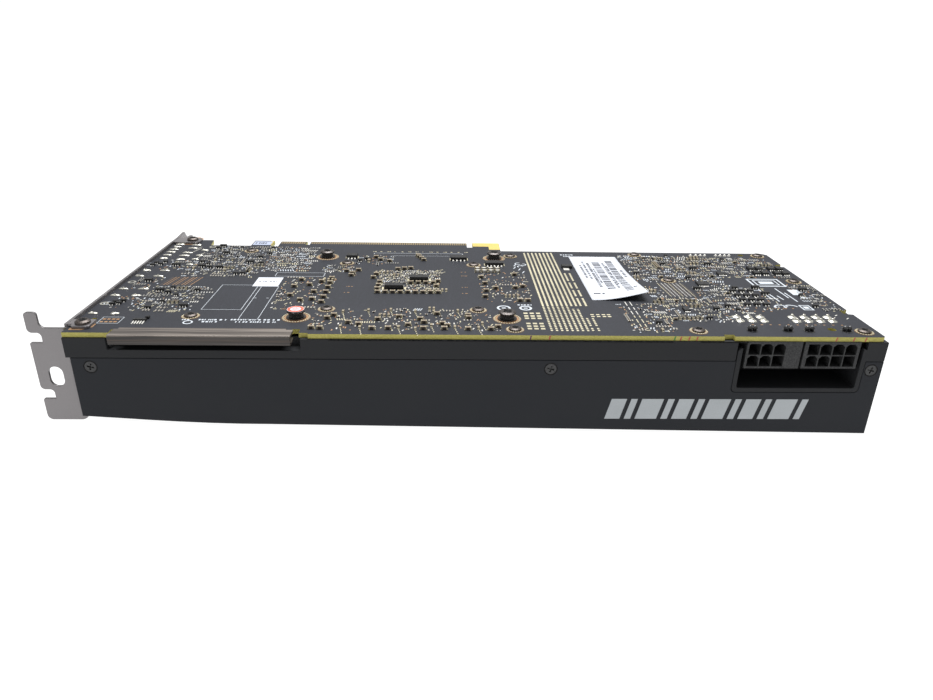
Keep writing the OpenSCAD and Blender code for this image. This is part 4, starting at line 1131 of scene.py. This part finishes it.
def board_print():
    """Printed frames, strokes and dashes, and the bare pads and tracks that stand alone."""
    rng = random.Random(21)
    b = Build("silk", "pads", "ring", "ends", "hook", "rim")
    for outline in ((37.3, 50.9, 21.4, 47.8), (52.3, 58.7, 12.4, 46.2), (54.6, 73.6, 58.9, 63.6),
                    (7.6, 14.4, 8, 13.6)):
        frame_line(b, *outline)
    for stroke in ((52.6, 53.4, 33.3, 33.6), (57, 57.8, 33.3, 33.6), (90.7, 129.3, 92.6, 92.8),
                   (90.6, 90.8, 91.2, 92.8), (129.2, 129.4, 91.2, 92.8), (98.6, 123.6, 88.7, 88.85)):
        b.ink_box(*stroke)
    for x in (8.6, 10.1, 11.6, 13):
        for y in (9.2, 11.6):
            b.box(x - 0.5, x + 0.5, y - 0.35, y + 0.6, 0, 0.04, "ring")
    for i in range(14):
        dashes(b, rng, 90 + 3.1 * i, 94.6, 1.2, 0.6, "pads")
    for y, x0, length in ((11.2, 34, 3), (11.2, 39.5, 9), (9.4, 41, 5), (11.4, 50, 16), (9.4, 52, 13)):
        dashes(b, rng, x0, y, length, 1.1)
    arc_mark(b, 36.6, 9.4, 1.4, 0.5, 0, 360)
    for x, r in ((142.4, 2.1), (150.2, 1.9)):
        arc_mark(b, x, 25, r, 0.75, 0, 360)
        b.ink_box(x - 0.7, x + 0.7, 24.6, 25.4)
    dashes(b, rng, 147.6, 27.8, 5, 0.9)
    for y, x0, length in ((92, 172.5, 5), (89.6, 173.6, 3.4), (91, 198, 16), (88.6, 200.5, 5)):
        dashes(b, rng, x0, y, length, 1.2)
    marks_at_tail(b)
    for x, y, r, a0, a1 in ((152.6, 78.6, 1.3, 60, 300), (154.6, 77.4, 1.1, 200, 460),
                            (153.2, 74.6, 1.2, 20, 230)):
        arc_mark(b, x, y, r, 0.42, a0, a1)
    for x, y in ((151, 76.4), (150.6, 73), (152.4, 70.6), (153.6, 66.8)):
        b.bar(x - 0.5, y - 1.3, x + 0.5, y + 1.3, 0.4, 0, INK, "silk")
    for x0, y0, count, pitch in ((226, 10.4, 11, 3.1), (229, 23.4, 4, 3), (242, 26.4, 3, 2.6)):
        for i in range(count):
            b.ink_box(x0 + i * pitch, x0 + i * pitch + 0.7, y0, y0 + 0.5, "ring")
    for x in (231, 233.4, 235.4, 237.4, 242.4, 244.4, 246.4, 248.4):
        b.lathe(x, 93, [(0.85, 0), (0.7, 0.25), (0.4, 0.6), (0.25, 0.9)], "ends", 14)
    for y in (66, 61, 47, 40):
        for x in (84, 128):
            dashes(b, rng, x, y, 2.2, 0.45, "ring")
    bare_tracks(b)
    bare_hook(b)
    b.piece("board_print", "label_paper")


def bare_tracks(b):
    """Stripes of bare track near the bracket, near the tail and in front of the big label."""
    for i in range(11):
        x = 14.2 + i * 1.12
        b.bar(x, 47.2, x + 1.8, 56.8, 0.3, 0, INK, "ring" if i % 3 else "rim")
    for i in range(7):
        x = 206.6 + i * 1.5
        b.bar(x, 38.5, x - 1.2, 54.6, 0.2, 0, INK, "ends" if i % 3 else "pads")
        b.bar(x + 0.6, 39.5, x - 0.5, 53.6, 0.24, 0, INK, "rim")
    for x in (187.4, 189.2):
        for y0, y1 in ((8, 10.6), (11.8, 15), (16.4, 18.4), (19.6, 23), (24.2, 26.6), (28.4, 32.4)):
            b.box(x - 0.16, x + 0.16, y0, y1, 0, 0.04, "pads" if y0 < 18 else "ends")


def marks_at_tail(b):
    """Plain blocks, bars and arcs where the board carries printed marks."""
    frame_line(b, 243.6, 255.9, 51.6, 60.4, 0.7)
    frame_line(b, 245.4, 254.1, 53.2, 58.8, 0.45)
    b.ink_box(247, 252.6, 54.6, 57.4)
    for x, y0, y1 in ((243.4, 36.5, 48), (245.2, 34, 44), (247.6, 36, 40.5), (250.4, 38, 49), (252, 34, 44)):
        b.bar(x, y1, x + 0.6, y0, 0.5, 0, INK, "silk")
    b.ink_box(254.4, 258.4, 41.4, 47.6)
    b.prism([(255, 36.8), (259, 36.8), (256.8, 40.4)], 0, INK, "silk")
    for x in (244, 247.6):
        arc_mark(b, x, 27.6, 2.6, 0.6, 20, 160)
        b.disc(x - 2.3, 28, 0.6, 0, INK, "silk", 12)
    frame_line(b, 251.2, 254.6, 25.4, 30, 0.5)
    b.ink_box(252, 253.8, 26.6, 28.8)
    for x, y in ((260, 20), (262.6, 17), (258, 17.4)):
        b.bar(x - 0.6, y - 0.5, x + 0.6, y + 0.5, 0.35, 0, INK, "ends")


def bare_hook(b):
    """The retention hook and the connector's shoulders have no solder mask."""
    for x0, x1, y0, y1 in ((134.3, 146.4, 104.8, 110.3), (141.5, 146.4, 99.8, 104.8), (42, 43.4, 104, 110.9)):
        b.box(x0, x1, y0, y1, 0, 0.02, "hook")
    b.box(134.2, 146.5, 110.4, 110.43, -1.6, 0.02, "hook")


# ---------------------------------------------------------------- labels

# The big label's low and high corners.
LABEL = ((175.7, 33.6), (196.3, 89.6))


def label_height(x, y):
    """The big label lies flat but for its near corner on the tail side, which curls up."""
    lo, hi = LABEL
    u = (x - lo[0]) / (hi[0] - lo[0])
    v = (hi[1] - y) / (hi[1] - lo[1])
    curl = max(0.0, u * 0.9 + v * 1.1 - 1.2)
    return 0.08 + 4.75 * curl ** 1.5

def paper(b, x0, x1, y0, y1, look, lift=0.0, thick=0.09, nx=12, ny=26):
    """A sheet that follows the label's surface."""
    verts = []
    for z in (0.0, thick):
        for j in range(ny + 1):
            for i in range(nx + 1):
                x, y = x0 + (x1 - x0) * i / nx, y0 + (y1 - y0) * j / ny
                verts.append((x, y, label_height(x, y) + lift + z))
    layer = (nx + 1) * (ny + 1)
    faces = []
    for j in range(ny):
        for i in range(nx):
            a = j * (nx + 1) + i
            quad = [a, a + 1, a + nx + 2, a + nx + 1]
            faces.append(quad[::-1])
            faces.append([q + layer for q in quad])
    rim = [i for i in range(nx + 1)] + [(j + 1) * (nx + 1) - 1 for j in range(1, ny + 1)]
    rim += [ny * (nx + 1) + i for i in range(nx - 1, -1, -1)] + [j * (nx + 1) for j in range(ny - 1, 0, -1)]
    for a, c in zip(rim, rim[1:] + rim[:1]):
        faces.append([a, c, c + layer, a + layer])
    b.add(verts, faces, look, True)


def big_label():
    """The curled label with columns of plain bars."""
    rng = random.Random(5)
    b = Build("label", "ink")
    (x0, y0), (x1, y1) = LABEL
    lift, thick = 0.1, 0.02
    paper(b, x0, x1, y0, y1, "label")

    def columns(places, gaps, nx):
        for x, top, bottom, wide in places:
            y = top
            while y > bottom:
                bar = rng.choice((0.5, 0.8, 1.3))
                paper(b, x, x + wide, y - bar, y, "ink", lift, thick, nx, 1)
                y -= bar + rng.choice(gaps)
    columns(((184.2, 81, 46, 3.1), (190.2, 83.5, 41, 2.9)), (0.4, 0.6, 1.0), 2)
    columns(((178.2, 77, 60, 0.9), (179.9, 82, 58, 0.9), (181.6, 80, 48, 1.1), (183, 72, 54, 0.7),
             (188.2, 80, 46, 0.9), (189.1, 76, 52, 0.7), (194, 70, 60, 1.0)), (0.4, 0.4, 1.0), 1)
    for x, y, wide, high in ((177.6, 40.4, 2.6, 1.1), (180.9, 40.2, 0.9, 1.4), (193.6, 44.4, 1.3, 1.0)):
        paper(b, x, x + wide, y, y + high, "ink", lift, thick, 2, 2)
    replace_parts(b.piece("curled_label", "label_paper"), "wide_label")


def small_paper():
    """The two small labels, with dashes that can't be read."""
    rng = random.Random(9)
    b = Build("label", "ink", "blue_label")
    for x0, x1, y0, y1 in islands("small_labels"):
        on_tab, middle = y0 > 90, (y0 + y1) / 2
        b.box(x0, x1, y0, y1, 0.03, 0.14, "blue_label" if on_tab else "label")
        inset, spare, half = (0.8, 2.4, 1.1) if on_tab else (1.4, 3, 0.4)
        dashes(b, rng, x0 + inset, middle - half, x1 - x0 - spare, 2 * half, "ink", z=0.14)
    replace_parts(b.piece("small_stickers", "label_paper"), "small_labels")


def seal():
    """Round paper seal on one spring screw: white with a coloured rim and plain bars."""
    lo, hi = span("screw_seal")
    (x, y), r, z = middle_of("screw_seal"), (hi.x - lo.x) / 2, lo.z
    b = Build("label", "seal")
    for share, z0, z1, look in ((1, 0, 0.04, "label"), (0.95, 0.04, 0.05, "seal"),
                                (0.62, 0.05, 0.06, "label")):
        b.disc(x, y, r * share, z + z0, z + z1, look, 32)
    reach = r * 0.3
    for step in (-1, 0, 1):
        cx, cy = x + step * r * 0.2, y - step * r * 0.2
        b.bar(cx - reach, cy - reach, cx + reach, cy + reach, 0.28, z + 0.06, z + 0.07, "seal")
    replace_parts(b.piece("round_seal", "seal_paper"), "screw_seal")


# ---------------------------------------------------------------- casing trim

# Widths of the slanting bars on the front face, and the gap between them.
STRIPE_BARS = (5.2, 2.2, 7.4, 2.2) * 3
STRIPE_GAP = 1.5


def front_stripes():
    """Row of slanting bars on the casing's front face, at the tail."""
    b = Build("plate")
    low, high, slant = -30.4, -22.8, 1.9
    x = 176.0
    for wide in STRIPE_BARS:
        outline = [(x, low), (x + wide, low), (x + wide + slant, high), (x + slant, high)]
        b.plate(outline, FRONT - 0.03, FRONT + 0.01, "plate")
        x += wide + STRIPE_GAP
    b.piece("front_stripes", "label_paper")


def painted_edge_shadow():
    """A dark strip painted as the shadow line between the board and the band under it, on the front face."""
    b = Build("dark")
    under = span("circuit_board")[0].z
    for x0, x1 in ((84, 196), (205, 221)):
        # Painted shadow: a thin dark box just proud of the front face, under the board's edge.
        b.box(x0, x1, FRONT - 0.03, FRONT + 0.05, under - 0.5, under - 0.02, "dark")
    b.piece("painted_edge_shadow", "black_plastic")


def hub_badge():
    """A plain dial on the fan wheel's hub, with one longer tick that shows the wheel turning."""
    x, y = middle_of("fan_rotor")
    face = span("fan_rotor")[0].z
    b = Build("black", "plate")
    b.ring(x, y, 15.2, 14.7, face - 0.05, face + 0.02, "plate", 64)
    b.hoop(x, y, [(10.4, face + 0.02), (6.2, face + 0.02), (6.2, face - 0.16), (10.1, face - 0.16),
                  (10.4, face - 0.1)], "black", 64)
    for i, a in enumerate(angles(12)):
        inner, proud = (11.9, 0.05) if i else (7.2, 0.2)
        b.bar(*around(x, y, inner, a), *around(x, y, 13.6, a), 0.5, face - proud, face + 0.02, "plate")
    b.piece("hub_badge", "label_paper", "fan")


def inlet_lip():
    """The rolled inner edge of the air inlet."""
    b = Build("frame")
    b.hoop(*middle_of("fan_rotor"), [(28.05, UNDER + 0.02), (28.05, UNDER + 2.6), (27.3, UNDER + 2.6),
                                     (26.9, UNDER + 2.1), (26.9, UNDER + 0.9), (27.2, UNDER + 0.3),
                                     (27.6, UNDER + 0.02)], "frame", 72)
    b.piece("inlet_lip", "black_plastic")


# Where each colour of inspection tick lies along the board's front edge.
TICKS = {"violet": (149.2,), "red": (155.4, 198.4, 201.2, 203.8, 250.2, 256, 260), "leaf": (196.4,)}


def edge_ink():
    """Coloured inspection ticks on the raw front edge of the board."""
    for look, places in TICKS.items():
        b = Build(look)
        for x in places:
            b.plate([(x - 0.3, -1.5), (x + 0.15, -1.5), (x + 0.5, -0.1), (x, -0.1)], -0.012, 0.004, look)
        b.piece("edge_ticks_" + look, "seal_paper")


# Ground that printed frames, bare tracks and test pads take: x0, x1, y0, y1.
PRINTED = ((36.6, 51.6, 20.8, 48.5), (51, 59.3, 11.8, 46.8), (47.6, 59.4, 45, 58), (54, 74.2, 58.4, 64.2),
           (33, 67, 8.4, 13.4), (7, 15, 7, 14.4), (13.6, 27.4, 46.4, 57.6), (205, 217.4, 37.8, 55.2),
           (155, 173, 2, 97), (147, 155.4, 4, 22), (171.4, 179.6, 15.6, 20), (186.4, 190.4, 8, 33),
           (139.6, 152.6, 22.4, 29.2))


def small_parts():
    """All chip parts, one piece for each region of the board."""
    reserved_ground()
    looks = ("tan", "brown", "ends", "cream", "resin", "pads", "ring", "silk", "joint")
    fields = {name: Build(*looks) for name, *_ in CROWDED}
    big_parts(fields)
    crowded_areas(fields)
    for name, field in fields.items():
        field.piece("chip_parts_" + name, "chip_resin")


for step in (camera, studio, small_parts, moulded_parts, split_pegs, painted_drive_shade, painted_screw_gap_shade, flange_copper,
             dotted_strips, copper_rings, solder_joints, board_print, big_label, small_paper, seal,
             front_stripes, painted_edge_shadow, hub_badge, inlet_lip, edge_ink):
    step()
